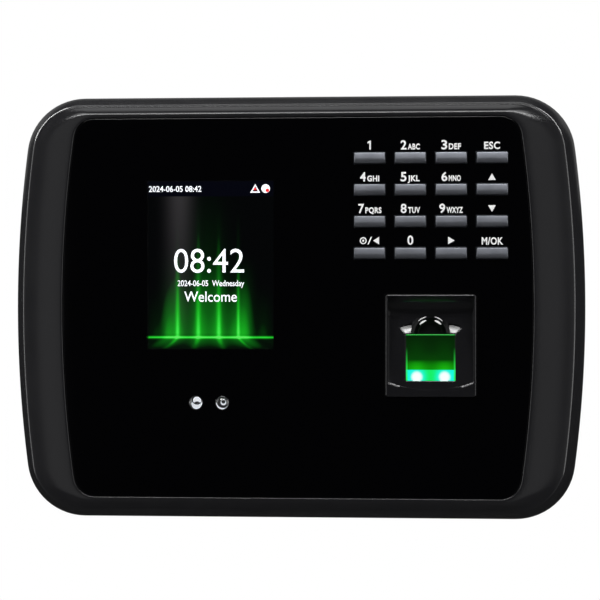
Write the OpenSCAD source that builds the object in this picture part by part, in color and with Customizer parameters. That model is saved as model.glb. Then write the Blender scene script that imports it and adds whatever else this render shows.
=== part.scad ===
// Wall-hung fingerprint scanner terminal with a colour display and a 16-key pad.
// X runs to the right seen from the front, Z up, and Y into the wall.
// The origin is the middle of the wall screw pattern, on the plane of the wall.

/* [Case] */
// Width of the case at its widest, half way up
case_w = 200; // [190:1:210]
// Height of the case
case_h = 148; // [146:1:154]
// Radius of the case's corners, seen from the front
case_r = 21; // [16:1:24]
// Radius of the bow of the two long sides
side_bow = 430; // [380:10:600]
// Thickness of the moulded walls
wall = 2.3; // [2:0.1:2.5]
// Distance from the wall to the front of the panel
panel_front = 36.5; // [36.5:0.5:38]

/* [Panel] */
// Width of the black front panel, half way up
panel_w = 161; // [156:1:164]
// Height of the black front panel
panel_h = 129.8; // [128:0.2:131]
// Radius of the panel's corners
panel_r = 7.3; // [5:0.1:9]

/* [Keys] */
// Width of a key cap
key_w = 10.4; // [9:0.1:11]
// Height of a key cap
key_h = 3.6; // [3:0.1:4]
// Distance from column to column
key_pitch_x = 13.8; // [13.4:0.1:14]
// Distance from row to row
key_pitch_z = 10.8; // [10:0.1:11]
// How far a key cap stands in front of the panel
key_proud = 2; // [1:0.1:2.5]
// How far a key travels
key_travel = 0.8; // [0.4:0.1:0.8]

/* [Scanner] */
// Width of the finger guide
guide_w = 30.7; // [29:0.1:32]
// Height of the finger guide
guide_h = 34.9; // [34:0.1:36]
// Width of the scanner's glass
glass_w = 16.8; // [15:0.1:18]
// Height of the scanner's glass, seen from the front
glass_h = 15.8; // [14:0.1:17]
// Slope of the finger's bed
bed_slope = 13.5; // [12:0.5:15]

/* [Wall plate] */
// Width of the steel wall plate
plate_w = 150; // [144:1:150]
// Thickness of the steel wall plate
plate_t = 1.5; // [1.2:0.1:1.5]
// Distance between the wall screws, from side to side
screw_pitch_x = 120; // [110:1:124]
// Distance between the wall screws, from top to bottom
screw_pitch_z = 90; // [86:1:92]
// Radius of a wall screw's hole
screw_hole_r = 2.3; // [2:0.1:2.6]
// How far the terminal is lifted to come off its hooks
lift = 8; // [6:0.5:8]

/* [Hidden] */

$fn = 48;
eps = 0.01;
gap = 0.25;
// Length by which a cut runs past what it cuts.
over = 1;

// Depths are given along Y, so the front of the terminal is negative.
panel_y = -panel_front;
panel_t = 2;
// The bezel's lip stands this far in front of the panel, and its ridge lies this far behind.
lip_proud = 0.4;
ridge_depth = 2.5;
panel_back = panel_y + panel_t;
lip_y = panel_y - lip_proud;
ridge_y = panel_y + ridge_depth;
seam_y = -18;
seam_gap = 0.2;
cover_back = -0.5;
nest_y = -2.3;
floor_y = nest_y - 2;

// Insets of the case's outline from its widest line to its ridge.
ridge_in = 5;
ridge_down = 4.2;
ridge_w = case_w - 2 * ridge_in;
ridge_h = case_h - 2 * ridge_down;
ridge_r = case_r - 4;
flank_steps = 6;
// The rear cover's back edge turns in over this depth, by this much.
heel_y = -9;
heel_in = 6.6;
heel_steps = 7;
ledge_t = 1.9;
ledge_w = 3;
tape_t = 0.2;
cavity_y = panel_back + tape_t + ledge_t;

// Screw bosses of the case, and board posts.
boss_x = 84;
boss_z = 50;
boss_r = 4.2;
case_screw_r = 1.45;
case_head_r = 2.75;
case_screw_tip = -29;
// Depth of the seat of a case screw's head below the cover's floor.
case_seat = 1.5;
post_x = 58;
post_zs = [40, -52];
post_r = 3;
post_bore_r = 1.05;
board_screw_len = 6;
board_head_t = 1.8;

// Display: its picture area is centred here.
lcd_x = -29.4;
lcd_z = 14.5;
lcd_size = [50, 69.2];
lcd_drop = 2.9;
lcd_y = panel_back + 0.2;

status_xs = [-34.4, -25.3];
status_z = -32.7;
status_r = 2.2;

// Key pad: the first column and row.
key_x0 = 25.2;
key_z0 = 50.8;
key_flange_t = 1;
key_flange_w = 0.9;
key_crown_r = 2.4;
key_flange_y = panel_back + 0.2;
stem_r = 1.5;
mat_y = key_flange_y + key_flange_t + key_travel + 0.2;
mat_t = 1;
dome_h = 0.4;
keypad_y = mat_y + mat_t + 1;
board_t = 1.6;
stem_end = keypad_y - dome_h - key_travel - 0.1;

// Finger guide.
guide_x = 45.9;
guide_z = -13;
guide_proud = 1;
guide_back = -27;
guide_rim = 1.4;
glass_z = -17.1;
bed_foot_z = -28.6;
bed_bow = 160;
tip_r = 6.5;
sensor_post_x = 13.4;
sensor_post_z = 13.6;
prism_t = 5.6;
led_x = 4.7;

main_y = -16;
main_back = main_y + board_t;
main_x = [-64, 66];
main_z = [-62, 44];

plate_z = [-55, 54];
plate_corner = 6;
// Holes for a wall box's two screws.
box_screw_x = 30;
box_screw_z = 14;
hook_x = 62;
hook_zs = [26, -30];
hook_w = 10;
hook_slack = 0.6;
hook_lip = 5.5;
hook_reach = floor_y - 0.2 - plate_t;
tab_w = 14;
tab_reach = -9;
lock_y = -6;
lock_r = 1.5;
lock_len = 19.4;
lock_head_r = 2.75;
lock_head_t = 1.7;
lock_seat = -71.3;
pocket_w = 17;
pocket_y = -10.5;
pocket_z = [plate_z[0] - plate_t - lift - 0.7, plate_z[0] + 9];

bay_x = 46;
bay_z = [-29, -3];
socket_top = -5;
socket_z = -16;

usb_x = 50;
usb_y = -11.55;
usb_mouth = -69.4;
usb_w = 13.2;
usb_t = 5.7;
usb_len = 14;
// Height that lies below the whole case.
below = -case_h / 2 - 2;
flap_hinge_x = 39.6;
flap_tip_x = 61.5;
flap_t = 1.5;
flap_z = -73.2;
flap_w = 8.2;

speaker_x = -51;
speaker_y = -11;
speaker_z = -68.4;

tamper_x = 20;
tamper_z = 38;
plunger_r = 1.9;

// Points of an outline with straight top and bottom, bowed sides and round corners,
// anticlockwise seen from the front.
corner_steps = 8;
side_steps = 12;
function side_centre(w) = w / 2 - side_bow;
function corner_x(w, h, r) =
    side_centre(w) + sqrt(pow(side_bow - r, 2) - pow(h / 2 - r, 2));
function side_angle(w, h, r) = atan2(h / 2 - r, corner_x(w, h, r) - side_centre(w));
function quarter(w, h, r) = let (a = side_angle(w, h, r)) concat(
    [for (i = [0 : side_steps - 1])
        let (t = a * i / side_steps)
        [side_centre(w) + side_bow * cos(t), side_bow * sin(t)]],
    [for (i = [0 : corner_steps])
        let (t = a + (90 - a) * i / corner_steps)
        [corner_x(w, h, r) + r * cos(t), h / 2 - r + r * sin(t)]]
);
function backwards(list) = [for (i = [len(list) - 1 : -1 : 0]) list[i]];
function barrel(w, h, r) = let (q = quarter(w, h, r), n = len(q)) concat(
    q,
    [for (p = backwards(q)) [-p.x, p.y]],
    [for (i = [1 : n - 1]) [-q[i].x, -q[i].y]],
    [for (i = [n - 1 : -1 : 1]) [q[i].x, -q[i].y]]
);

// A solid skinned over outlines, each [depth, width, height, radius], front first.
module loft(sections) {
    rings = [for (s = sections) barrel(s[1], s[2], s[3])];
    n = len(rings[0]);
    last = len(sections) - 1;
    polyhedron(
        points = [for (i = [0 : last]) for (p = rings[i]) [p.x, sections[i][0], p.y]],
        faces = concat(
            [[for (j = [n - 1 : -1 : 0]) j]],
            [for (i = [0 : last - 1]) for (j = [0 : n - 1])
                [i * n + j, i * n + (j + 1) % n, (i + 1) * n + (j + 1) % n]],
            [for (i = [0 : last - 1]) for (j = [0 : n - 1])
                [i * n + j, (i + 1) * n + (j + 1) % n, (i + 1) * n + j]],
            [[for (j = [0 : n - 1]) last * n + j]]
        )
    );
}

// A flat shape drawn in X and Z, given its thickness along Y.
module slab(front, back) {
    translate([0, back, 0]) rotate([90, 0, 0]) linear_extrude(back - front) children();
}

// A box between two corners.
module block(low, high) {
    translate(low) cube(high - low);
}

// A round bar along Y.
module bar(x, z, r, front, back) {
    translate([x, back, z]) rotate([90, 0, 0]) cylinder(r = r, h = back - front);
}

// A rectangle with round corners.
module round_rect(w, h, r) {
    square([w - 2 * r, h], center = true);
    square([w, h - 2 * r], center = true);
    for (x = [-1, 1], z = [-1, 1])
        translate([x * (w / 2 - r), z * (h / 2 - r)]) circle(r);
}

// A profile drawn as [Z, Y] points, given its length along X.
module along_x(x0, x1, points) {
    multmatrix([[0, 0, 1, x0], [0, 1, 0, 0], [1, 0, 0, 0], [0, 0, 0, 1]])
        linear_extrude(x1 - x0) polygon(points);
}

// A thin wire swept along points that run mostly along X or Z.
wire_sides = 8;
function wire_ring(p, r) =
    [for (k = [0 : wire_sides - 1])
        let (t = 360 * k / wire_sides)
        [p.x + r * cos(t) * 0.7071, p.y + r * sin(t), p.z - r * cos(t) * 0.7071]];
module wire(points, r) {
    n = wire_sides;
    last = len(points) - 1;
    polyhedron(
        points = [for (p = points) for (q = wire_ring(p, r)) q],
        faces = concat(
            [[for (k = [0 : n - 1]) k]],
            [for (i = [0 : last - 1]) for (k = [0 : n - 1])
                [i * n + k, (i + 1) * n + k, (i + 1) * n + (k + 1) % n]],
            [for (i = [0 : last - 1]) for (k = [0 : n - 1])
                [i * n + k, (i + 1) * n + (k + 1) % n, i * n + (k + 1) % n]],
            [[for (k = [n - 1 : -1 : 0]) last * n + k]]
        )
    );
}

module at_bosses() {
    for (x = [-boss_x, boss_x], z = [-boss_z, boss_z]) translate([x, 0, z]) children();
}

module at_posts() {
    for (x = [-post_x, post_x], z = post_zs) translate([x, 0, z]) children();
}

module at_hooks() {
    for (x = [-hook_x, hook_x], z = hook_zs) translate([x, 0, z]) children();
}

// ---- wall plate ----

module hook() {
    half = hook_w / 2;
    block([-half, hook_reach, 0], [half, -plate_t + 0.2, plate_t]);
    block([-half, hook_reach, 0], [half, hook_reach + plate_t, plate_t + hook_lip]);
}

module wall_plate() {
    mid = (plate_z[0] + plate_z[1]) / 2;
    color("silver") difference() {
        union() {
            slab(-plate_t, 0) translate([0, mid])
                round_rect(plate_w, plate_z[1] - plate_z[0], plate_corner);
            at_hooks() hook();
            block([-tab_w / 2, tab_reach, plate_z[0] - plate_t + 0.1],
                  [tab_w / 2, 0, plate_z[0] + 0.1]);
        }
        // Windows that the hooks were bent out of.
        at_hooks() block([-hook_w / 2 - hook_slack, -plate_t - 0.1, -hook_lip - 2],
                         [hook_w / 2 + hook_slack, over, -eps]);
        block([-bay_x, -plate_t - over, bay_z[0]], [bay_x, over, bay_z[1]]);
        for (x = [-1, 1], z = [-1, 1])
            bar(x * screw_pitch_x / 2, z * screw_pitch_z / 2, screw_hole_r, -plate_t - over, over);
        for (x = [-1, 1]) bar(x * box_screw_x, box_screw_z, screw_hole_r, -plate_t - over, over);
        translate([0, lock_y, plate_z[0] - 5]) cylinder(r = lock_r + 0.06, h = 8);
    }
}

module lock_screw() {
    color("dimgray") translate([0, lock_y, lock_seat]) difference() {
        union() {
            cylinder(r = lock_r, h = lock_len);
            translate([0, 0, -lock_head_t]) cylinder(r = lock_head_r, h = lock_head_t);
        }
        // Six-sided socket with a pin in its middle.
        translate([0, 0, -lock_head_t - eps]) difference() {
            cylinder(r = lock_head_r / 2, h = 1.1, $fn = 6);
            cylinder(r = 0.4, h = 1.1);
        }
    }
}

// ---- case ----

function inset_section(y, inset, lost) =
    [y, case_w - 2 * inset, case_h - 2 * inset, case_r - lost];
function shrunk(sections, by) =
    [for (s = sections) [s[0], s[1] - 2 * by, s[2] - 2 * by, s[3] - by]];
// The flank swells from the ridge to the seam as a quarter of an ellipse: t is 0 to 1.
function swell(t) = 1 - sin(90 * t);
function flank_section(y, t) = [
    y,
    case_w + swell(t) * (ridge_w - case_w),
    case_h + swell(t) * (ridge_h - case_h),
    case_r + swell(t) * (ridge_r - case_r)
];
function flank(front, back) =
    [for (i = [0 : flank_steps]) flank_section(front + (back - front) * i / flank_steps,
                                               i / flank_steps)];
shell_inside = concat(flank(cavity_y, seam_y - 1), [inset_section(seam_y + 1, 0, 0)]);
shell_outside = concat(
    [[lip_y, panel_w + 2, panel_h + 1.6, panel_r + 1],
     [lip_y + 0.5, panel_w + 3.6, panel_h + 3.2, panel_r + 1.8],
     [ridge_y - 0.35, ridge_w - 1.2, ridge_h - 1.2, ridge_r - 0.6]],
    flank(ridge_y, seam_y - seam_gap / 2)
);
// The heel is a quarter of an ellipse: a runs from 0 at its start to 90 on the back.
function heel_section(a) = inset_section(
    heel_y + (cover_back - heel_y) * sin(a),
    heel_in * (1 - cos(a)),
    heel_in * (1 - cos(a)) / 2
);
function heel(last) = [for (i = [0 : last]) heel_section(90 * i / heel_steps)];
cover_outside = concat([inset_section(seam_y + seam_gap / 2, 0, 0)], heel(heel_steps));
cover_inside = concat([inset_section(seam_y - 1, 0, 0)], heel(2), [
    let (s = heel_section(25)) [floor_y, s[1], s[2], s[3]]
]);

module hook_slot() {
    block([-hook_w / 2 - hook_slack, floor_y - over, -lift - 0.4],
          [hook_w / 2 + hook_slack, over, plate_t + 0.05]);
}

module grille(slots, pitch) {
    for (i = [0 : slots - 1])
        translate([(i - (slots - 1) / 2) * pitch, 0, 0])
            block([-0.7, -4, -6], [0.7, 4, 6]);
}

module rear_cover() {
    color("#161719") difference() {
        union() {
            difference() {
                loft(cover_outside);
                loft(shrunk(cover_inside, wall));
            }
            at_bosses() bar(0, 0, boss_r, seam_y + seam_gap, floor_y + 0.5);
            at_posts() bar(0, 0, post_r, main_back, floor_y + 0.5);
            // Closed pocket around the wall plate's tab.
            block([-pocket_w / 2 - 2, pocket_y - 2, -71.5],
                  [pocket_w / 2 + 2, floor_y + 0.5, pocket_z[1] + 2]);
            // Thick pad around the USB opening.
            block([usb_x - 13, usb_y - 4.6, -71.6], [usb_x + 13, usb_y + 5, usb_mouth - 0.2]);
        }
        // Nest for the wall plate, with room to lift.
        slab(nest_y, 1) translate([0, (plate_z[0] + plate_z[1] - lift) / 2])
            round_rect(plate_w + 2, plate_z[1] - plate_z[0] + lift + 2, plate_corner + 1);
        block([-pocket_w / 2, pocket_y, pocket_z[0]], [pocket_w / 2, 1, pocket_z[1]]);
        at_hooks() hook_slot();
        block([-bay_x, floor_y - over, bay_z[0]], [bay_x, over, bay_z[1]]);
        // Way of the lock screw, and the seat for its head.
        translate([0, lock_y, lock_seat - 4]) cylinder(r = lock_head_r + gap, h = 4);
        translate([0, lock_y, lock_seat - 1]) cylinder(r = lock_r + 0.15, h = 9);
        at_bosses() {
            bar(0, 0, case_screw_r + gap, seam_y - over, over);
            bar(0, 0, case_head_r + 0.45, floor_y - case_seat, over);
        }
        at_posts() bar(0, 0, post_bore_r, main_back - over, main_back + board_screw_len + over);
        translate([speaker_x, speaker_y, -72]) grille(9, 2.6);
        // USB opening, and the shallow bed of its rubber flap.
        block([usb_x - usb_w / 2 - 0.3, usb_y - usb_t / 2 - gap, below],
              [usb_x + usb_w / 2 + 0.3, usb_y + usb_t / 2 + gap, usb_mouth + 3.4]);
        block([flap_hinge_x - 0.9, usb_y - flap_w / 2 - 0.3, below],
              [flap_tip_x + 0.3, usb_y + flap_w / 2 + 0.3, flap_z + flap_t + 0.2]);
        bar(tamper_x, tamper_z, plunger_r + 0.2, floor_y - 1, 1);
    }
}

module front_shell() {
    color("#161719") difference() {
        union() {
            difference() {
                loft(shell_outside);
                loft(shrunk(shell_inside, wall));
            }
            at_bosses() bar(0, 0, boss_r, cavity_y - 0.5, seam_y - seam_gap);
        }
        slab(lip_y - 1, panel_back + tape_t)
            polygon(barrel(panel_w + 0.3, panel_h + 0.3, panel_r + 0.15));
        slab(panel_back, cavity_y + 1)
            polygon(barrel(panel_w - 2 * ledge_w, panel_h - 2 * ledge_w, panel_r - ledge_w));
        at_bosses() bar(0, 0, case_screw_r + 0.05, case_screw_tip - 1, seam_y + over);
    }
}

module seam_gasket() {
    color("#303236") slab(seam_y - 1.2, seam_y + 1.2) difference() {
        polygon(barrel(case_w - 2 * wall - 1.4, case_h - 2 * wall - 1.4, case_r - wall - 0.7));
        polygon(barrel(case_w - 2 * wall - 3.8, case_h - 2 * wall - 3.8, case_r - wall - 1.9));
    }
}

module key_opening(slack) {
    block([-key_w / 2 - slack, -50, -key_h / 2 - slack],
          [key_w / 2 + slack, -25, key_h / 2 + slack]);
}

module at_keys() {
    for (column = [0 : 3], row = [0 : 3])
        translate([key_x0 + column * key_pitch_x, 0, key_z0 - row * key_pitch_z]) children();
}

module front_panel() {
    color("#050506") difference() {
        slab(panel_y, panel_back) polygon(barrel(panel_w, panel_h, panel_r));
        at_keys() key_opening(gap);
        slab(panel_y - over, panel_back + over) translate([guide_x, guide_z])
            square([guide_w + 0.3, guide_h + 0.3], center = true);
        for (x = status_xs) bar(x, status_z, status_r + 0.1, panel_y - 1, panel_back + 1);
    }
}

module panel_tape() {
    color("#22262c") slab(panel_back, panel_back + tape_t) difference() {
        polygon(barrel(panel_w - 0.6, panel_h - 0.6, panel_r - 0.3));
        polygon(barrel(panel_w - 2 * ledge_w, panel_h - 2 * ledge_w, panel_r - ledge_w));
    }
}

module case_screws() {
    color("dimgray") at_bosses() difference() {
        union() {
            bar(0, 0, case_screw_r, case_screw_tip, floor_y - case_seat);
            bar(0, 0, case_head_r, floor_y - case_seat, floor_y + 0.6);
        }
        for (a = [0, 90]) translate([0, floor_y + 0.6, 0]) rotate([0, a, 0])
            block([-1.5, -1, -0.3], [1.5, 1, 0.3]);
    }
}

module board_screws() {
    color("silver") at_posts() difference() {
        union() {
            bar(0, 0, post_bore_r - 0.05, main_y - 0.1, main_back + board_screw_len);
            bar(0, 0, 2.4, main_y - board_head_t, main_y);
        }
        for (a = [0, 90]) translate([0, main_y - board_head_t, 0]) rotate([0, a, 0])
            block([-1.3, -1, -0.25], [1.3, 0.8, 0.25]);
    }
}

// ---- display ----

lcd_mid_z = lcd_z - lcd_drop;
lcd_glass_t = 1.2;
tray_back = lcd_y + 3.1;

module lcd_glass() {
    color("#1c2420") slab(lcd_y, lcd_y + lcd_glass_t) translate([lcd_x, lcd_mid_z])
        square([lcd_size.x - 1.6, lcd_size.y - 1.6], center = true);
}

module lcd_tray() {
    color("silver") difference() {
        slab(lcd_y + 0.1, tray_back) translate([lcd_x, lcd_mid_z])
            square(lcd_size, center = true);
        slab(lcd_y - 1, lcd_y + lcd_glass_t) translate([lcd_x, lcd_mid_z])
            square([lcd_size.x - 1.4, lcd_size.y - 1.4], center = true);
    }
}

module lcd_bracket() {
    back = tray_back + 2.4;
    color("#2b2d30") difference() {
        slab(lcd_y, back) translate([lcd_x, lcd_mid_z])
            square([lcd_size.x + 5, lcd_size.y + 5], center = true);
        slab(lcd_y - 1, tray_back + 0.1) translate([lcd_x, lcd_mid_z])
            square([lcd_size.x + 0.4, lcd_size.y + 0.4], center = true);
        // Windows that leave a ladder of three cross bars.
        for (k = [-1, 1])
            translate([lcd_x, 0, lcd_mid_z + k * lcd_size.y / 4])
                block([-20, tray_back - 1, -13], [20, back + 1, 13]);
        // Way out of the display's ribbon.
        block([lcd_x - 7, tray_back - 4, -27], [lcd_x + 7, back + 1, -22.6]);
    }
}

// A flat cable folded from board to board: runs are [Z, Y] corners of its centre line.
module ribbon(x, w, t, corners) {
    for (i = [0 : len(corners) - 2]) {
        low_z = min(corners[i][0], corners[i + 1][0]);
        high_z = max(corners[i][0], corners[i + 1][0]);
        low_y = min(corners[i][1], corners[i + 1][1]);
        high_y = max(corners[i][1], corners[i + 1][1]);
        block([x - w / 2, low_y - t / 2, low_z - t / 2], [x + w / 2, high_y + t / 2, high_z + t / 2]);
    }
}

module lcd_ribbon() {
    color("#b06a1c") ribbon(lcd_x, 12, 0.3,
        [[-23.2, -33.6], [-25, -33.6], [-25, -19], [-40, -19], [-40, main_y - 0.2]]);
}

// ---- status lights ----

module status_lens() {
    dome_r = 3.1;
    bar(0, status_z, status_r, panel_y - 0.1, panel_back + 0.6);
    bar(0, status_z, status_r + 0.8, panel_back + 0.2, panel_back + 1);
    intersection() {
        translate([0, panel_y - 1.1 + dome_r, status_z]) sphere(dome_r);
        bar(0, status_z, status_r, panel_y - 2, panel_y);
    }
}

module status_lens_left() {
    color("#d8dde0") translate([status_xs[0], 0, 0]) status_lens();
}

module status_lens_right() {
    color("#d8dde0") translate([status_xs[1], 0, 0]) status_lens();
}

module status_board() {
    board = panel_back + 3.4;
    color("#1d5a34") {
        block([status_xs[0] - 7, board, status_z - 5.5], [status_xs[1] + 7, board + 1.2, status_z + 5]);
        for (x = status_xs)
            block([x - 1.4, board - 1, status_z - 1.4], [x + 1.4, board + 0.1, status_z + 1.4]);
    }
}

// ---- fingerprint scanner ----

bed_y = panel_y - guide_proud;
function bed_depth(z) = bed_y + (z - bed_foot_z) * tan(bed_slope);
bed_top_z = glass_z + glass_h / 2 + tip_r;
guide_in = guide_w / 2 - guide_rim;
box_back = -20.4;

// The finger's bed: a shallow trough that runs deeper towards its top.
module finger_bed() {
    intersection() {
        translate([guide_x, bed_y, bed_foot_z]) rotate([-bed_slope, 0, 0])
            translate([0, -bed_bow, -20]) cylinder(r = bed_bow, h = 80, $fn = 200);
        block([guide_x - guide_in, bed_y - 1, guide_z - guide_h / 2 + guide_rim],
              [guide_x + guide_in, guide_back, bed_top_z - 1.5]);
    }
    along_x(guide_x - guide_in, guide_x + guide_in, [
        [bed_top_z - 1.6, bed_y - 1],
        [bed_top_z - 1.6, bed_depth(bed_top_z) - 0.6],
        [bed_top_z - 0.2, bed_depth(bed_top_z) - 1.4],
        [bed_top_z + 2.2, bed_y + 2],
        [guide_z + guide_h / 2 - guide_rim, bed_y - 1]
    ]);
}

module at_bed(z) {
    translate([guide_x, bed_depth(z), z]) rotate([-bed_slope, 0, 0]) children();
}

module at_sensor_posts() {
    for (x = [-1, 1], z = [-1, 1])
        translate([guide_x + sensor_post_x * x, 0, guide_z + sensor_post_z * z]) children();
}

module sensor_frame() {
    tilt_h = glass_h / cos(bed_slope);
    color("#1a1b1d") difference() {
        union() {
            slab(bed_y, guide_back) translate([guide_x, guide_z])
                round_rect(guide_w, guide_h, 0.9);
            slab(panel_back + 0.1, panel_back + 1.4) translate([guide_x, guide_z])
                square([guide_w + 4, guide_h + 4], center = true);
            at_sensor_posts() bar(0, 0, 1.8, guide_back - 1, box_back);
        }
        finger_bed();
        at_bed(glass_z) {
            block([-glass_w / 2, -4, -tilt_h / 2], [glass_w / 2, 16, tilt_h / 2]);
            // Hollow for the fingertip, above the glass.
            intersection() {
                translate([0, 0, tilt_h / 2]) rotate([90, 0, 0])
                    cylinder(r = tip_r, h = 10, center = true);
                block([-tip_r, -5, tilt_h / 2 - 0.1], [tip_r, 1.6, tilt_h / 2 + tip_r]);
            }
        }
        at_sensor_posts() bar(0, 0, 0.85, box_back - 5, box_back + 1);
    }
}

module sensor_prism() {
    tilt_h = glass_h / cos(bed_slope);
    color("#2f8f4a") at_bed(glass_z)
        along_x(-glass_w / 2 + 0.1, glass_w / 2 - 0.1, [
            [-tilt_h / 2 + 0.1, 0],
            [tilt_h / 2 - 0.1, 0],
            [tilt_h / 2 - 0.1, 1.2],
            [tilt_h / 2 - 3, prism_t],
            [-tilt_h / 2 + 3, prism_t],
            [-tilt_h / 2 + 0.1, 1.2]
        ]);
}

module sensor_box() {
    color("#121315") difference() {
        block([guide_x - 11.3, guide_back + 0.1, guide_z - 13], [guide_x + 11.3, box_back, guide_z + 8]);
        block([guide_x - 10, guide_back - 1, guide_z - 11.5],
              [guide_x + 10, box_back - 1.6, guide_z + 6.5]);
        bar(guide_x, glass_z + 1, 2.6, box_back - 4, box_back + 1);
    }
}

module sensor_lens() {
    color("#20262c") {
        bar(guide_x, glass_z + 1, 2.5, box_back - 2.6, box_back - 0.1);
        intersection() {
            bar(guide_x, glass_z + 1, 1.8, box_back - 4, box_back - 2.5);
            translate([guide_x, box_back - 0.8, glass_z + 1]) sphere(2.6);
        }
    }
}

module sensor_board() {
    color("#1d5a34") {
        difference() {
            block([guide_x - 15.4, box_back + 0.1, guide_z - 15.6],
                  [guide_x + 15.4, box_back + 1.1, guide_z + 15.6]);
            at_sensor_posts() bar(0, 0, 1.1, box_back - 1, box_back + 2);
        }
        block([guide_x - 4, box_back + 1, guide_z + 1], [guide_x + 4, box_back + 2, guide_z + 9]);
    }
}

module sensor_screws() {
    color("silver") at_sensor_posts() {
        bar(0, 0, 0.8, box_back - 4, box_back + 1.2);
        bar(0, 0, 1.7, box_back + 1.15, box_back + 2);
    }
}

module sensor_leds() {
    row_z = glass_z - glass_h / 2 + 1;
    for (x = [-1, 1]) color("#e8fff2")
        translate([guide_x + x * led_x, bed_depth(row_z) + prism_t + 3.1, row_z]) rotate([90, 0, 0]) {
            cylinder(r = 1.4, h = 1.6);
            translate([0, 0, 1.6]) sphere(1.2);
        }
}

module sensor_ribbon() {
    color("#b06a1c") ribbon(guide_x + 6, 8, 0.3,
        [[guide_z - 12, box_back + 1.3], [guide_z - 22, box_back + 1.3], [guide_z - 22, main_y - 0.2]]);
}

// ---- key pad ----

module key_stem_holes(slack) {
    at_keys() for (x = [-1, 1]) bar(x * key_w / 4, 0, stem_r + slack, -40, -20);
}

module key(column, row) {
    front = panel_y - key_proud;
    translate([key_x0 + column * key_pitch_x, 0, key_z0 - row * key_pitch_z]) {
        intersection() {
            block([-key_w / 2, front, -key_h / 2], [key_w / 2, key_flange_y + 0.1, key_h / 2]);
            union() {
                translate([-key_w, front + key_crown_r, 0]) rotate([0, 90, 0])
                    cylinder(r = key_crown_r, h = 2 * key_w);
                block([-key_w, front + key_crown_r, -key_h], [key_w, 0, key_h]);
            }
        }
        block([-key_w / 2 - key_flange_w, key_flange_y, -key_h / 2 - key_flange_w],
              [key_w / 2 + key_flange_w, key_flange_y + key_flange_t, key_h / 2 + key_flange_w]);
        for (x = [-1, 1]) bar(x * key_w / 4, 0, stem_r, key_flange_y + 0.1, stem_end);
    }
}

module key_1() { color("#9b9ea3") key(0, 0); }
module key_2() { color("#9b9ea3") key(1, 0); }
module key_3() { color("#9b9ea3") key(2, 0); }
module key_escape() { color("#9b9ea3") key(3, 0); }
module key_4() { color("#9b9ea3") key(0, 1); }
module key_5() { color("#9b9ea3") key(1, 1); }
module key_6() { color("#9b9ea3") key(2, 1); }
module key_up() { color("#9b9ea3") key(3, 1); }
module key_7() { color("#9b9ea3") key(0, 2); }
module key_8() { color("#9b9ea3") key(1, 2); }
module key_9() { color("#9b9ea3") key(2, 2); }
module key_down() { color("#9b9ea3") key(3, 2); }
module key_left() { color("#9b9ea3") key(0, 3); }
module key_0() { color("#9b9ea3") key(1, 3); }
module key_right() { color("#9b9ea3") key(2, 3); }
module key_ok() { color("#9b9ea3") key(3, 3); }

// The key pad's mat and board reach this far past the outer keys' middles.
pad_out = [8.4, 6.6];
pad_x = [key_x0 - pad_out.x, key_x0 + 3 * key_pitch_x + pad_out.x];
pad_z = [key_z0 - 3 * key_pitch_z - pad_out.y, key_z0 + pad_out.y];

module keypad_mat() {
    color("#4a4d52") difference() {
        block([pad_x[0], mat_y, pad_z[0]], [pad_x[1], mat_y + mat_t, pad_z[1]]);
        key_stem_holes(0.3);
    }
}

module keypad_board() {
    color("#1d5a34") block([pad_x[0], keypad_y, pad_z[0]], [pad_x[1], keypad_y + board_t, pad_z[1]]);
}

module contact_domes() {
    color("gold") at_keys() bar(0, 0, 3.4, keypad_y - dome_h, keypad_y);
}

module keypad_ribbon() {
    back = keypad_y + board_t;
    color("#b06a1c") ribbon(key_x0 + 6, 14, 0.3,
        [[pad_z[0] + 8, back + 0.15], [pad_z[0] + 2, back + 0.15], [pad_z[0] + 2, main_y - 0.2]]);
}

// ---- main board ----

module main_board() {
    color("#1d5a34") difference() {
        block([main_x[0], main_y, main_z[0]], [main_x[1], main_back, main_z[1]]);
        at_posts() bar(0, 0, 1.6, main_y - 1, main_back + 1);
    }
}

module chip(x, z, w, h, t) {
    block([x - w / 2, main_y - t, z - h / 2], [x + w / 2, main_y, z + h / 2]);
}

module board_chips() {
    color("#16181a") {
        chip(-8, -2, 16, 16, 1.4);
        chip(-30, 20, 12, 8, 1.1);
        chip(-30, 4, 12, 8, 1.1);
        chip(14, 18, 9, 9, 1);
        chip(-44, -34, 10, 6, 1.2);
        chip(14, -40, 7, 5, 1.2);
        chip(-8, 30, 5, 4, 0.9);
        chip(-50, -10, 6, 8, 1);
    }
}

module capacitors() {
    color("#5c6a78") for (p = [[-54, 26], [-54, 14], [30, 10], [-16, -46]])
        bar(p[0], p[1], 3.1, main_y - 5.4, main_y);
}

cell_x = -34;
cell_z = 24;
cell_r = 10;

module cell_holder() {
    color("#d9dad6") difference() {
        bar(cell_x, cell_z, cell_r + 2, main_back, main_back + 3.4);
        bar(cell_x, cell_z, cell_r + 0.2, main_back + 0.8, main_back + 5);
        block([cell_x - 5, main_back + 0.9, cell_z + 6], [cell_x + 5, main_back + 5, cell_z + 14]);
    }
}

module coin_cell() {
    color("silver") {
        bar(cell_x, cell_z, cell_r, main_back + 0.8, main_back + 3.4);
        bar(cell_x, cell_z, cell_r - 1.4, main_back + 3.3, main_back + 4);
    }
}

// A socket that opens towards the wall.
module back_socket(x, z, w, h, mouth_w, mouth_h, depth) {
    difference() {
        block([x - w / 2, main_back, z - h / 2], [x + w / 2, socket_top, z + h / 2]);
        block([x - mouth_w / 2, socket_top - depth, z - mouth_h / 2],
              [x + mouth_w / 2, socket_top + 1, z + mouth_h / 2]);
    }
}

module ethernet_socket() {
    x = -32;
    color("#b9bcc0") {
        difference() {
            back_socket(x, socket_z, 16, 15.6, 11.9, 7.2, 9);
            block([x - 3.2, socket_top - 9, -13], [x + 3.2, socket_top + 1, -10.4]);
        }
    }
}

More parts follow.
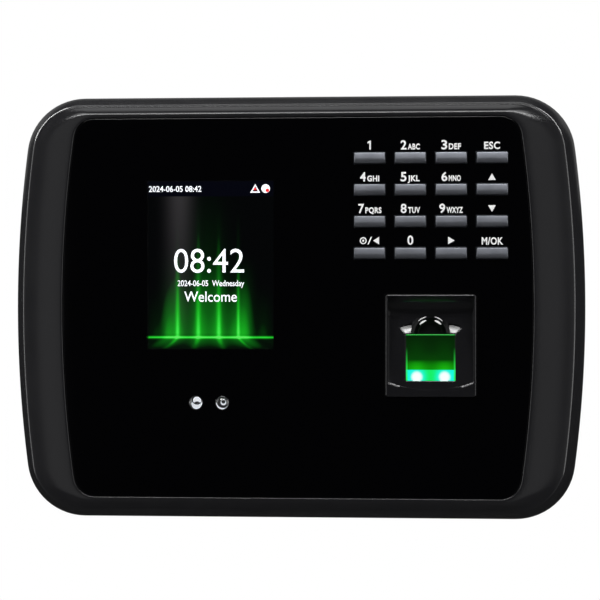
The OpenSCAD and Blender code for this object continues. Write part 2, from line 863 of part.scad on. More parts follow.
module power_socket() {
    x = -6;
    color("#202225") {
        back_socket(x, socket_z, 12.6, 9.4, 10.4, 7.2, 8);
        for (k = [-1, 1]) bar(x + k * 3.1, socket_z, 0.5, socket_top - 8.1, socket_top - 1.5);
    }
}

module door_terminal() {
    x = 25;
    pitch = 5.08;
    color("#2d7a3c") difference() {
        block([x - 3.2 * pitch, main_back, socket_z - 4.5], [x + 3.2 * pitch, socket_top, socket_z + 4.5]);
        for (i = [-2.5 : 2.5]) {
            bar(x + i * pitch, socket_z - 1.6, 1.5, socket_top - 5, socket_top + over);
            bar(x + i * pitch, socket_z + 2.2, 1.5, socket_top - 2, socket_top + over);
        }
    }
}

module usb_socket() {
    wall_t = 0.35;
    tongue_y = usb_y - 1.1;
    color("silver") {
        difference() {
            block([usb_x - usb_w / 2, usb_y - usb_t / 2, usb_mouth],
                  [usb_x + usb_w / 2, usb_y + usb_t / 2, usb_mouth + usb_len]);
            block([usb_x - usb_w / 2 + wall_t, usb_y - usb_t / 2 + wall_t, usb_mouth - over],
                  [usb_x + usb_w / 2 - wall_t, usb_y + usb_t / 2 - wall_t, usb_mouth + usb_len - 2]);
        }
        block([usb_x - 5.6, tongue_y - 0.9, usb_mouth + 1.5],
              [usb_x + 5.6, tongue_y + 0.9, usb_mouth + usb_len - 1.9]);
    }
}

module speaker_frame() {
    color("#3a3c40") difference() {
        translate([speaker_x, speaker_y, speaker_z])
            block([-15, -5.2, 0], [15, 5.2, 5]);
        translate([speaker_x, speaker_y, speaker_z])
            block([-13.6, -4, -1], [13.6, 4, 3.4]);
    }
}

module speaker_cone() {
    color("#17181a") translate([speaker_x, speaker_y, speaker_z])
        block([-13.5, -3.9, 0.6], [13.5, 3.9, 1.6]);
}

module speaker_leads() {
    for (k = [0, 1]) color(k == 0 ? "firebrick" : "black")
        wire([
            [speaker_x + 15.6, speaker_y + k * 2.4, speaker_z + 3],
            [speaker_x + 18, speaker_y + k * 2.4, speaker_z + 4],
            [speaker_x + 21, speaker_y + k * 1.6, speaker_z + 9],
            [speaker_x + 24, speaker_y + k * 1.6 + 0.2, speaker_z + 14],
            [speaker_x + 28, speaker_y + k * 1.4 + 0.2, speaker_z + 17]
        ], 0.5);
}

module tamper_switch() {
    color("#202225") difference() {
        block([tamper_x - 3.4, main_back, tamper_z - 3.4], [tamper_x + 3.4, -7.4, tamper_z + 3.4]);
        bar(tamper_x, tamper_z, plunger_r + 0.08, -11.6, -7);
    }
}

module tamper_plunger() {
    color("#c43a2e") difference() {
        bar(tamper_x, tamper_z, plunger_r, -9.8, -plate_t - 0.15);
        bar(tamper_x, tamper_z, 0.8, -10.8, -8.4);
    }
}

module usb_cover() {
    low_y = usb_y - flap_w / 2;
    high_y = usb_y + flap_w / 2;
    color("#1c1d1f") {
        block([flap_hinge_x + 0.2, low_y, flap_z], [flap_tip_x, high_y, flap_z + flap_t]);
        block([usb_x - 5.8, usb_y - 2.2, flap_z + flap_t - 0.1],
              [usb_x + 5.8, usb_y + 2.2, flap_z + flap_t + 1.2]);
        translate([flap_hinge_x, low_y, flap_z + 0.5]) rotate([-90, 0, 0])
            cylinder(r = 0.5, h = flap_w);
    }
}

wall_plate();
lock_screw();
rear_cover();
front_shell();
seam_gasket();
front_panel();
panel_tape();
case_screws();
board_screws();
lcd_glass();
lcd_tray();
lcd_bracket();
lcd_ribbon();
status_lens_left();
status_lens_right();
status_board();
sensor_frame();
sensor_prism();
sensor_box();
sensor_lens();
sensor_board();
sensor_leds();
sensor_screws();
sensor_ribbon();
keypad_mat();
keypad_board();
contact_domes();
keypad_ribbon();
main_board();
board_chips();
capacitors();
cell_holder();
coin_cell();
ethernet_socket();
power_socket();
door_terminal();
usb_socket();
speaker_frame();
speaker_cone();
speaker_leads();
tamper_switch();
tamper_plunger();
usb_cover();
key_1();
key_2();
key_3();
key_escape();
key_4();
key_5();
key_6();
key_up();
key_7();
key_8();
key_9();
key_down();
key_left();
key_0();
key_right();
key_ok();
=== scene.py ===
"""Looks of a wall-hung fingerprint terminal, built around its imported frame.

Sizes in the classes are in millimetres, and the meshes they make are in metres.
X runs to the right seen from the front, Z up, and the front faces -Y.
"""

import logging
import math
from dataclasses import dataclass
from enum import Enum
from functools import lru_cache
from typing import Iterable, Sequence

import bmesh
import bpy
from mathutils import Matrix, Vector


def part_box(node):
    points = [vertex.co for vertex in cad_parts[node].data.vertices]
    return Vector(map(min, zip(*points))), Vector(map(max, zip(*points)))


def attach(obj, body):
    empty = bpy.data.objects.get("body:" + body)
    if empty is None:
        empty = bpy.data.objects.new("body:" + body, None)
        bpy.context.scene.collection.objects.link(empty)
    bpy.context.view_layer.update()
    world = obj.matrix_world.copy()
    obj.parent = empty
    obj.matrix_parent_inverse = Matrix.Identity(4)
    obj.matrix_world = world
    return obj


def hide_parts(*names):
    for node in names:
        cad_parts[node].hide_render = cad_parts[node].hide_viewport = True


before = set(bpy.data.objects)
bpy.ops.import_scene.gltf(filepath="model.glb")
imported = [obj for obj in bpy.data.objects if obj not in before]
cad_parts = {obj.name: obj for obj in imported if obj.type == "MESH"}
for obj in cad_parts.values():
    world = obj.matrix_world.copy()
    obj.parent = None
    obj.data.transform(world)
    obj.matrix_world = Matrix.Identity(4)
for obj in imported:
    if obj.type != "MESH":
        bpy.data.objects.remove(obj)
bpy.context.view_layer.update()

MM = 0.001
LOG = logging.getLogger("terminal")
TERMINAL = "terminal"

# Kinds of value that the hints name: X and Z on the front, a place or size in space, and an arc.
Point = tuple[float, float]
Place = tuple[float, float, float]
Arc = tuple[float, float, float, float]
Piece = bpy.types.Object
Tree = bpy.types.NodeTree
Node = bpy.types.Node
Socket = bpy.types.NodeSocket
Wire = Node | Socket


# Blender's names of the nodes that are used most.
MATH = "ShaderNodeMath"
MIX = "ShaderNodeMix"
RAMP = "ShaderNodeValToRGB"


# ---------------------------------------------------------------- finishes


def linear(code: str) -> tuple[float, float, float, float]:
    """Turns a colour into the values that a shader socket takes.

    Args:
        code: sRGB colour as #RRGGBB.

    Returns:
        Linear red, green and blue, and an alpha of 1.
    """
    values = [int(code[i : i + 2], 16) / 255 for i in (1, 3, 5)]
    bent = [v / 12.92 if v <= 0.04045 else ((v + 0.055) / 1.055) ** 2.4 for v in values]
    return (bent[0], bent[1], bent[2], 1.0)


def add_node(tree: Tree, kind: str, inputs: dict[str | int, object] | Sequence[object] = (),
             **settings: object) -> Node:
    """Adds a node to a tree, sets it up and links it.

    Args:
        tree: Tree that gets the node.
        kind: Blender's name of the node's type.
        inputs: What each input gets, by its name or number or in order: a value, an output
            socket, or a node, which stands for its first output.
        settings: The node's own properties.

    Returns:
        The new node.
    """
    node = tree.nodes.new(kind)
    for key, value in settings.items():
        setattr(node, key, value)
    for name, value in inputs.items() if isinstance(inputs, dict) else enumerate(inputs):
        if isinstance(value, Node):
            value = value.outputs[0]
        if isinstance(value, Socket):
            tree.links.new(value, node.inputs[name])
        else:
            node.inputs[name].default_value = value
    return node


def set_stops(ramp: Node, stops: Sequence[tuple[float, str]]) -> Node:
    """Sets the stops of a colour ramp.

    Args:
        ramp: The ramp's node.
        stops: Place from 0 to 1 and hex colour of each stop, in order.

    Returns:
        The same node.
    """
    elements = ramp.color_ramp.elements
    while len(elements) < len(stops):
        elements.new(0.5)
    for element, (place, code) in zip(elements, stops):
        element.position = place
        element.color = linear(code)
    return ramp


def bell(tree: Tree, away: Wire) -> Wire:
    """Adds a soft bell curve.

    Args:
        tree: Tree that gets its nodes.
        away: Distance from its middle, 1 where it has fallen to a third.

    Returns:
        Its height, 1 at the middle.
    """
    square = add_node(tree, MATH, (away, 2), operation="POWER")
    fall = add_node(tree, MATH, (square, -1), operation="MULTIPLY")
    return add_node(tree, MATH, (fall,), operation="EXPONENT")


def along(tree: Tree, place: Wire, start: float, length: float) -> Wire:
    """Adds how far a place lies along a length, 0 at its start and 1 at its end.

    Args:
        tree: Tree that gets the nodes.
        place: The place.
        start: Where the length starts.
        length: The length.

    Returns:
        The share of the length.
    """
    offset = add_node(tree, MATH, (place, start), operation="SUBTRACT")
    return add_node(tree, MATH, (offset, length), operation="DIVIDE")


def object_axes(tree: Tree) -> bpy.types.bpy_prop_collection:
    """Adds the place on the object, and returns its X, Y and Z."""
    place = add_node(tree, "ShaderNodeTexCoord").outputs["Object"]
    return add_node(tree, "ShaderNodeSeparateXYZ", {0: place}).outputs


@dataclass(frozen=True)
class Finish:
    """A surface finish with a fine grain, slight mottling and worn-in roughness.

    The grain is the texture of the mould, print or plating; the mottling is what handling
    and casting leave over a few millimetres.
    """

    name: str
    colour: str
    roughness: float
    metallic: float = 0.0
    ior: float = 1.5
    grain_mm: float = 0.4
    grain_depth_mm: float = 0.004
    mottle_mm: float = 18.0
    mottle: float = 0.12
    roughness_spread: float = 0.06
    stretch: Place = (1.0, 1.0, 1.0)
    transmission: float = 0.0
    coat: float = 0.0
    glow: str = ""
    glow_strength: float = 0.0

    def shader(self, tree: Tree) -> Node:
        """Fills a material's tree.

        Args:
            tree: The material's empty node tree.

        Returns:
            The Principled BSDF node.
        """
        place = add_node(tree, "ShaderNodeTexCoord").outputs["Object"]
        place = add_node(tree, "ShaderNodeMapping", {"Vector": place, "Scale": self.stretch})
        grain, mottle = (
            add_node(tree, "ShaderNodeTexNoise", {
                "Vector": place, "Scale": 1 / (size * MM), "Detail": detail, "Roughness": rough,
            }).outputs["Fac"]
            for size, detail, rough in ((self.grain_mm, 2.0, 0.6), (self.mottle_mm, 4.0, 0.55))
        )
        base = Vector(linear(self.colour)[:3])
        light, dark = ((*(base * (1 + way * self.mottle)), 1.0) for way in (1, -1))
        tone = add_node(tree, MIX, {0: mottle, 6: dark, 7: light}, data_type="RGBA").outputs[2]
        rough = add_node(tree, "ShaderNodeMapRange", {
            "Value": mottle,
            "To Min": max(self.roughness - self.roughness_spread, 0.0),
            "To Max": min(self.roughness + self.roughness_spread, 1.0),
        })
        bump = add_node(tree, "ShaderNodeBump", {
            "Height": grain, "Strength": 1.0, "Distance": self.grain_depth_mm * MM,
        })
        shader = add_node(tree, "ShaderNodeBsdfPrincipled", {
            "Base Color": tone, "Roughness": rough, "Normal": bump, "Metallic": self.metallic,
        })
        if not self.metallic:
            shader.inputs["IOR"].default_value = self.ior
        shader.inputs["Transmission Weight"].default_value = self.transmission
        shader.inputs["Coat Weight"].default_value = self.coat
        if self.glow:
            shader.inputs["Emission Color"].default_value = linear(self.glow)
            shader.inputs["Emission Strength"].default_value = self.glow_strength
        return shader

    def material(self) -> bpy.types.Material:
        """Makes the material, or finds it if it was made before.

        Returns:
            The material, named for the finish.
        """
        known = bpy.data.materials.get(self.name)
        if known:
            return known
        material = bpy.data.materials.new(self.name)
        material.use_nodes = True
        tree = material.node_tree
        tree.nodes.clear()
        shader = self.shader(tree)
        add_node(tree, "ShaderNodeOutputMaterial", {"Surface": shader.outputs[0]})
        return material


# Moulded ABS from an eroded mould: a soft satin black that spreads highlights wide.
CASE_ABS = Finish("moulded_ABS_satin_black", "#1A1A1C", 0.19, grain_mm=0.35, grain_depth_mm=0.0004,
                  mottle_mm=12,
                  roughness_spread=0.03)
# Polished ABS of the finger guide: tighter highlights than the case.
GUIDE_ABS = Finish("moulded_ABS_semi_gloss_black", "#161618", 0.11, grain_depth_mm=0.001, mottle_mm=9)
# Cast acrylic printed black on its back: a mirror over near black, with faint wipe marks.
BLACK_ACRYLIC = Finish(
    "cast_acrylic_black_backed", "#010102", 0.035, ior=1.49, grain_mm=3, grain_depth_mm=0.0004,
    mottle_mm=30, roughness_spread=0.02,
)
# The same sheet where it is left clear over the display.
CLEAR_ACRYLIC = Finish(
    "cast_acrylic_clear", "#FFFFFF", 0.0, ior=1.49, grain_mm=3, grain_depth_mm=0.0, mottle=0.0,
    roughness_spread=0.0, transmission=1.0,
)
# Silver paint on ABS: fine aluminium flake that keeps a metallic sheen.
SILVER_PAINT = Finish(
    "silver_painted_ABS", "#8A8D95", 0.36, metallic=0.9, grain_mm=0.12, grain_depth_mm=0.001, mottle_mm=5,
)
# Screen-printed white ink, matt and a little raised.
WHITE_INK = Finish("screen_printed_white_ink", "#FBFBFA", 0.55, grain_mm=0.08, grain_depth_mm=0.002,
                   mottle=0.03)
# Injection-moulded clear polycarbonate of the status domes.
CLEAR_LENS = Finish("clear_polycarbonate", "#F8FAFA", 0.02, ior=1.58, grain_depth_mm=0.0, mottle=0.02,
                    roughness_spread=0.01, transmission=1.0)
# Painted glints: arcs on the cup behind each dome that glow, standing in for the reflections of the lights on
# the cup.
PAINTED_CUP_GLINTS = Finish("painted_cup_glints", "#E4E6E8", 0.4, glow="#F4F6FF", glow_strength=0.75)
# Zinc-plated sheet: a grey metal with long rolling marks.
ZINC_SHEET = Finish("zinc_plated_sheet_steel", "#A9ABAD", 0.38, metallic=1.0, grain_mm=0.5,
                    grain_depth_mm=0.004,
                    mottle_mm=7, mottle=0.15, stretch=(0.15, 1.0, 1.0))
# Nickel plate on stamped steel: a warm, fairly bright metal.
NICKEL = Finish("nickel_plated_steel", "#B8B5AC", 0.25, metallic=1.0, grain_depth_mm=0.002, mottle_mm=4)
# Zinc plate passivated black: a dark metal, duller on the heads' edges.
BLACK_ZINC = Finish("black_zinc_steel", "#2A2B2E", 0.42, metallic=1.0, grain_depth_mm=0.003, mottle_mm=3)
# Extruded closed-cell foam: dead matt, with the open pores of its skin.
FOAM = Finish("closed_cell_foam", "#202124", 0.9, grain_mm=0.5, grain_depth_mm=0.08)
# Moulded silicone rubber: a dusty, soft grey-black without a clear highlight.
SILICONE = Finish("moulded_silicone_rubber", "#232427", 0.6, grain_mm=0.3, grain_depth_mm=0.01, mottle_mm=6)
# Die-cut foam tape: matt, slightly blue-black.
TAPE = Finish("acrylic_foam_tape", "#1B1E22", 0.75, grain_mm=0.4, grain_depth_mm=0.02)
# ABS from a plain, unpolished mould, as inside parts have: flat black with a coarse grain.
INNER_ABS = Finish("moulded_ABS_black_inner", "#1C1D1F", 0.5, grain_depth_mm=0.006, mottle_mm=8)
# Moulded nylon: milky, with soft highlights.
WHITE_NYLON = Finish("moulded_nylon_white", "#D9D8D2", 0.45, grain_depth_mm=0.005, mottle=0.05)
GREEN_NYLON = Finish("moulded_nylon_green", "#2E8A45", 0.42, grain_depth_mm=0.006, mottle_mm=5)
# Moulded acetal: dense colour and a slippery sheen.
RED_ACETAL = Finish("moulded_acetal_red", "#B8342A", 0.35, grain_depth_mm=0.003)
# Laminated polyimide film over copper tracks: amber, glossy, streaked along its length.
POLYIMIDE = Finish("polyimide_flex", "#A8611E", 0.28, grain_mm=0.8, grain_depth_mm=0.004,
                   stretch=(3, 0.3, 0.3))
# Solder mask printed over copper on woven glass: glossy green, its tone changing over the tracks.
SOLDER_MASK = Finish("solder_masked_glass_fibre", "#15572F", 0.32, grain_mm=0.9, grain_depth_mm=0.01,
                     mottle_mm=3, mottle=0.3)
# Gold flash on stamped spring steel: bright and warm.
GOLD = Finish("gold_plated_domes", "#D9B468", 0.2, metallic=1.0, grain_depth_mm=0.001, mottle_mm=2)
# Deep-drawn bare aluminium: a clean pale metal.
CAN = Finish("bare_aluminium_can", "#C2C5C8", 0.3, metallic=1.0, grain_depth_mm=0.002, mottle_mm=2)
# Pressed and treated speaker paper: matt black with visible fibre.
PAPER = Finish("treated_speaker_paper", "#1B1B1D", 0.85, grain_mm=0.3, grain_depth_mm=0.04)
# Extruded PVC sheath: an even, waxy red.
SHEATH = Finish("PVC_lead_sheath", "#8E1F1B", 0.45, grain_depth_mm=0.004)
# Ground lens glass under an anti-reflection coat: nearly black, with a sharp glint.
LENS_GLASS = Finish("coated_lens_glass", "#1A2230", 0.03, ior=1.6, grain_depth_mm=0.0, coat=1.0)
# Clear epoxy of a lit lamp: an even glow, a little green.
LAMP = Finish("lit_lamp_lens", "#E8FFF2", 0.2, glow="#DFFFF0", glow_strength=3.0)
# Polariser film laminated on the display's glass: black with a blurred sheen.
POLARISER = Finish("polariser_film_black", "#030405", 0.25, grain_depth_mm=0.0005)
# Lit cells of the display, as words and signs: they glow evenly and have no relief.
LIT_WHITE = Finish("display_lit_white", "#FFFFFF", 0.5, grain_depth_mm=0.0, glow="#F4F8FF", glow_strength=1.0)
LIT_RED = Finish("display_lit_red", "#FF3030", 0.5, glow="#E02028", glow_strength=1.0)
# Uncoated seamless paper of the studio's floor: matt, nearly white.
FLOOR_PAPER = Finish("matt_pale_paper", "#F2F2F0", 0.9, mottle=0.01)


@dataclass(frozen=True)
class ScreenPicture(Finish):
    """The lit face of the display: green beams that rise from a bright floor line."""

    left_mm: float = 0.0
    bottom_mm: float = 0.0
    width_mm: float = 43.2
    height_mm: float = 57.6
    # Middle, half width and height reached by each beam, as shares of the picture, and its strength.
    beams: tuple[Arc, ...] = (
        (0.235, 0.016, 0.74, 0.70),
        (0.225, 0.085, 0.55, 0.75),
        (0.150, 0.040, 0.36, 0.35),
        (0.400, 0.018, 0.85, 0.62),
        (0.400, 0.065, 0.50, 0.48),
        (0.480, 0.140, 1.00, 0.42),
        (0.565, 0.018, 0.80, 0.68),
        (0.570, 0.065, 0.50, 0.50),
        (0.720, 0.012, 0.78, 0.70),
        (0.770, 0.062, 0.50, 0.85),
        (0.690, 0.060, 0.42, 0.55),
        (0.060, 0.060, 0.30, 0.20),
        (0.920, 0.060, 0.32, 0.24),
    )
    # Brightness of the beams turned to colour, from the unlit glass to the hottest green.
    greens: tuple[tuple[float, str], ...] = (
        (0.0, "#010203"), (0.10, "#021505"), (0.30, "#0A5F12"), (0.60, "#18B422"), (0.85, "#3DF04A"),
        (1.0, "#62F463"),
    )
    haze_at: Point = (0.25, 0.095)
    floor_line: float = 0.069
    floor_half: float = 0.007
    gain: float = 0.66
    fan_middle: float = 0.48
    bar_from: float = 0.91

    def shader(self, tree: Tree) -> Node:
        """Fills the picture's tree.

        Args:
            tree: The material's empty node tree.

        Returns:
            The shader, with the picture as its glow.
        """
        shader = Finish.shader(self, tree)
        axes = object_axes(tree)
        across = along(tree, axes["X"], self.left_mm * MM, self.width_mm * MM)
        up = along(tree, axes["Z"], self.bottom_mm * MM, self.height_mm * MM)
        above = add_node(tree, MATH, (up, self.floor_line), operation="SUBTRACT")
        spread = self.fan(tree, across, above)
        total = self.line(tree, above)
        for middle, half, height, strength in self.beams:
            beam = self.beam(tree, spread, above, middle, half, height, strength)
            total = add_node(tree, MATH, (total, beam), operation="ADD")
        light = add_node(tree, MATH, (total, self.gain), operation="MULTIPLY", use_clamp=True)
        green = set_stops(add_node(tree, RAMP, (light,)), self.greens)
        colour = add_node(tree, MIX, {0: self.haze(tree, across, up), 6: green, 7: linear("#3C3A3C")},
                          data_type="RGBA", blend_type="ADD").outputs[2]
        bar = add_node(tree, MATH, (up, self.bar_from), operation="GREATER_THAN")
        topped = add_node(tree, MIX, {0: bar, 6: colour, 7: linear("#02030C")}, data_type="RGBA").outputs[2]
        tree.links.new(topped, shader.inputs["Emission Color"])
        shader.inputs["Emission Strength"].default_value = self.glow_strength
        return shader

    def fan(self, tree: Tree, across: Wire, above: Wire) -> Wire:
        """Spreads the beams below the floor line.

        Args:
            tree: The picture's tree.
            across: Place across the picture, 0 to 1.
            above: Height above the floor line.

        Returns:
            The place across that the light there came from.
        """
        drop = add_node(tree, MATH, (above, -5.5), operation="MULTIPLY", use_clamp=True)
        offset = add_node(tree, MATH, (across, self.fan_middle), operation="SUBTRACT")
        lean = add_node(tree, MATH, (offset, drop), operation="MULTIPLY")
        shift = add_node(tree, MATH, (lean, 0.8), operation="MULTIPLY")
        return add_node(tree, MATH, (across, shift), operation="SUBTRACT")

    def haze(self, tree: Tree, across: Wire, up: Wire) -> Wire:
        """Adds the faint grey column on the left.

        Args:
            tree: The picture's tree.
            across: Place across the picture, 0 to 1.
            up: Place up the picture, 0 to 1.

        Returns:
            Its brightness.
        """
        column = bell(tree, along(tree, across, *self.haze_at))
        rise = add_node(tree, MATH, (up, 0.75), operation="MULTIPLY")
        return add_node(tree, MATH, (column, rise), operation="MULTIPLY")

    def line(self, tree: Tree, above: Wire) -> Wire:
        """Adds the bright floor line, and returns its brightness."""
        return bell(tree, add_node(tree, MATH, (above, self.floor_half), operation="DIVIDE"))

    def beam(self, tree: Tree, across: Wire, above: Wire, middle: float, half: float, height: float,
             strength: float) -> Wire:
        """Adds one beam, bright at the floor and fading upwards, with a short streak below.

        Args:
            tree: The picture's tree.
            across: Place across the picture, 0 to 1.
            above: Height above the floor line, as a share of the picture.
            middle: The beam's middle, across the picture.
            half: The beam's half width.
            height: How far it reaches.
            strength: Its brightness at the floor.

        Returns:
            The beam's brightness.
        """
        side = bell(tree, along(tree, across, middle, half))
        share = add_node(tree, MATH, (above, height), operation="DIVIDE")
        rise = add_node(tree, MATH, (1, share), operation="SUBTRACT", use_clamp=True)
        fade = add_node(tree, MATH, (rise, 1.5), operation="POWER")
        below = add_node(tree, MATH, (above, 9), operation="MULTIPLY")
        streak = add_node(tree, MATH, (0.75, below), operation="ADD", use_clamp=True)
        for factor in (fade, streak, strength):
            side = add_node(tree, MATH, (side, factor), operation="MULTIPLY")
        return side


@dataclass(frozen=True)
class ScannerGlow(Finish):
    """Optical glass lit from its lower edge: cyan at the lamps, green above, dark at the top."""

    middle_mm: float = 0.0
    bottom_mm: float = 0.0
    width_mm: float = 16.6
    height_mm: float = 15.8
    lamp_mm: float = 4.7
    lamp_up_mm: float = 1.25
    band: float = 0.235

    def shader(self, tree: Tree) -> Node:
        """Fills the glass's tree.

        Args:
            tree: The material's empty node tree.

        Returns:
            The shader, with the lit glass as its glow.
        """
        shader = Finish.shader(self, tree)
        axes = object_axes(tree)
        up = along(tree, axes["Z"], self.bottom_mm * MM, self.height_mm * MM)
        offset = add_node(tree, MATH, (axes["X"], self.middle_mm * MM), operation="SUBTRACT")
        off = add_node(tree, MATH, (offset,), operation="ABSOLUTE")
        dark = set_stops(add_node(tree, RAMP, {0: up}),
                         ((self.band, "#0C8A04"), (self.band + 0.10, "#0A7A04"), (0.45, "#063E03"),
                          (0.65, "#042A03"), (1.0, "#031E02")))
        glow = set_stops(add_node(tree, RAMP, {0: up}),
                         ((self.band, "#1BB810"), (self.band + 0.14, "#0F8F08"), (0.45, "#053C04"),
                          (1.0, "#031E02")))
        cyan = self.near(tree, off, self.width_mm / 2 - 1.2, 4.2)
        band = add_node(tree, MIX, {0: cyan, 6: linear("#16EE58"), 7: linear("#14F6D6")},
                        data_type="RGBA").outputs[2]
        low = add_node(tree, MATH, (up, self.band), operation="LESS_THAN")
        halo = self.spots(tree, off, axes["Z"], 2.7, 0.8)
        colour = dark
        # Each layer covers the ones before it: where it shows, and its colour.
        for share, layer in (
            (self.near(tree, off, self.lamp_mm, 2.6), glow),
            (low, band),
            (add_node(tree, MATH, (halo, low), operation="MULTIPLY"), linear("#25FFF0")),
            (self.rim(tree, off, up), linear("#30EE50")),
            (self.spots(tree, off, axes["Z"], 1.85, 1.5), linear("#FAFFFF")),
        ):
            colour = add_node(tree, MIX, {0: share, 6: colour, 7: layer}, data_type="RGBA").outputs[2]
        tree.links.new(colour, shader.inputs["Emission Color"])
        shader.inputs["Emission Strength"].default_value = self.glow_strength
        return shader

    def near(self, tree: Tree, off: Wire, place: float, reach: float) -> Wire:
        """Adds a soft share, 1 where off is at place and less further off, both in millimetres."""
        return bell(tree, along(tree, off, place * MM, reach * MM))

    def spots(self, tree: Tree, off: Wire, height: Wire, radius: float, sharp: float) -> Wire:
        """Adds the two lamps seen in the glass.

        Args:
            tree: The glass's tree.
            off: Distance from the glass's middle line.
            height: Height in the frame.
            radius: The lamp's radius in millimetres.
            sharp: How abruptly its edge ends.

        Returns:
            Its brightness.
        """
        lamp_z = (self.bottom_mm + self.lamp_up_mm) * MM
        squares = []
        for place, middle in ((off, self.lamp_mm * MM), (height, lamp_z)):
            away = along(tree, place, middle, radius * MM)
            squares.append(add_node(tree, MATH, (away, away), operation="MULTIPLY"))
        distance = add_node(tree, MATH, squares, operation="ADD")
        steep = add_node(tree, MATH, (distance, sharp * 2), operation="POWER")
        fall = add_node(tree, MATH, (steep, -1), operation="MULTIPLY")
        return add_node(tree, MATH, (fall,), operation="EXPONENT")

    def rim(self, tree: Tree, off: Wire, up: Wire) -> Wire:
        """Adds the lines of light in the glass's side and top edges.

        Args:
            tree: The glass's tree.
            off: Distance from the glass's middle line.
            up: Place up the glass, 0 to 1.

        Returns:
            Their brightness.
        """
        edge = add_node(tree, MATH, (off, (self.width_mm / 2 - 0.45) * MM), operation="GREATER_THAN")
        fall = add_node(tree, MATH, (up, 1.4), operation="MULTIPLY")
        low = add_node(tree, MATH, (1, fall), operation="SUBTRACT", use_clamp=True)
        sides = add_node(tree, MATH, (edge, low), operation="MULTIPLY")
        head = add_node(tree, MATH, (up, 0.978), operation="GREATER_THAN")
        top = add_node(tree, MATH, (head, 0.4), operation="MULTIPLY")
        return add_node(tree, MATH, (sides, top), operation="MAXIMUM")


# ---------------------------------------------------------------- mesh tools


def link_new(name: str, data: bpy.types.ID) -> Piece:
    """Puts a new object in the scene.

    Args:
        name: The object's name.
        data: What it holds, such as a mesh, a light or a camera.

    Returns:
        The object.
    """
    piece = bpy.data.objects.new(name, data)
    bpy.context.scene.collection.objects.link(piece)
    return piece


def give_finish(mesh: bpy.types.Mesh, finish: Finish) -> None:
    """Gives a mesh one finish in place of any that it has."""
    mesh.materials.clear()
    mesh.materials.append(finish.material())


def add_modifier(piece: Piece, name: str, kind: str, **settings: object) -> bpy.types.Modifier:
    """Adds a modifier to a piece and sets it up.

    Args:
        piece: Piece that gets the modifier.
        name: The modifier's name.
        kind: Blender's name of its type.
        settings: The modifier's own properties.

    Returns:
        The new modifier.
    """
    modifier = piece.modifiers.new(name, kind)
    for key, value in settings.items():
        setattr(modifier, key, value)
    return modifier


def set_inputs(modifier: bpy.types.Modifier, values: dict[str, object]) -> None:
    """Sets a node group's inputs on its modifier.

    Args:
        modifier: The modifier, its group already chosen.
        values: Value of each input, by the input's name.
    """
    for item in modifier.node_group.interface.items_tree:
        if item.in_out == "INPUT" and item.name in values:
            modifier[item.identifier] = values[item.name]


def make_piece(name: str, vertices: Iterable[Place], faces: Iterable[Sequence[int]], finish: Finish,
               smooth_deg: float = 35.0) -> Piece:
    """Makes a piece from points and faces.

    Args:
        name: The piece's name.
        vertices: Points in millimetres.
        faces: Point numbers of each face.
        finish: The piece's finish.
        smooth_deg: Edges that turn more than this stay sharp.

    Returns:
        The new object, at the origin, with its normals outwards.
    """
    mesh = bpy.data.meshes.new(name)
    mesh.from_pydata([Vector(v) * MM for v in vertices], [], [tuple(f) for f in faces])
    mesh.materials.append(finish.material())
    tidy_mesh(mesh, smooth_deg)
    return link_new(name, mesh)


def tidy_mesh(mesh: bpy.types.Mesh, smooth_deg: float) -> None:
    """Merges doubled points, turns the faces outwards and smooths all but the sharp edges.

    Args:
        mesh: The mesh to tidy.
        smooth_deg: Edges that turn more than this stay sharp.
    """
    work = bmesh.new()
    work.from_mesh(mesh)
    bmesh.ops.remove_doubles(work, verts=work.verts, dist=0.002 * MM)
    bmesh.ops.dissolve_degenerate(work, edges=work.edges, dist=0.001 * MM)
    bmesh.ops.recalc_face_normals(work, faces=work.faces)
    for face in work.faces:
        face.smooth = True
    for edge in work.edges:
        turned = edge.calc_face_angle(math.pi)
        edge.smooth = turned < math.radians(smooth_deg)
    work.to_mesh(mesh)
    work.free()


def dress(piece: Piece, slot: str, *replaced: str, body: str = TERMINAL) -> Piece:
    """Hangs a finished piece on its body.

    Args:
        piece: The finished piece.
        slot: The record's material slot. Not used.
        replaced: CAD nodes that it stands for.
        body: CAD body that it moves with.

    Returns:
        The piece.
    """
    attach(piece, body)
    if replaced:
        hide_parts(*replaced)
    flatten(piece)
    LOG.info("%s: %d faces on %s", piece.name, len(piece.data.polygons), body)
    return piece


def flatten(piece: Piece) -> None:
    """Keeps a piece's large faces looking flat where smooth shading runs round its edges."""
    add_modifier(piece, "flat_faces", "WEIGHTED_NORMAL", keep_sharp=True, weight=80)


@lru_cache(maxsize=None)
def box_mm(node: str) -> tuple[Vector, Vector]:
    """Lowest and highest corner of a CAD node, in millimetres."""
    low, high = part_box(node)
    return low / MM, high / MM


def middle_mm(node: str) -> Vector:
    """Middle of a CAD node's box, in millimetres."""
    low, high = box_mm(node)
    return (low + high) / 2


def arc(cx: float, cz: float, radius: float, start: float, stop: float, steps: int) -> list[Point]:
    """Points along an arc, angles in degrees, both ends included."""
    turns = [math.radians(start + (stop - start) * i / steps) for i in range(steps + 1)]
    return [(cx + radius * math.cos(t), cz + radius * math.sin(t)) for t in turns]


def rounded(cx: float, cz: float, width: float, height: float, radius: float, steps: int = 5) -> list[Point]:
    """Draws a rectangle with round corners.

    Args:
        cx: X of its middle.
        cz: Z of its middle.
        width: Its width.
        height: Its height.
        radius: Radius of its corners.
        steps: Steps round each corner.

    Returns:
        Its outline.
    """
    points: list[Point] = []
    for k, (sx, sz) in enumerate(((1, 1), (-1, 1), (-1, -1), (1, -1))):
        corner = (cx + sx * (width / 2 - radius), cz + sz * (height / 2 - radius))
        points += arc(*corner, radius, 90 * k, 90 * k + 90, steps)
    return points


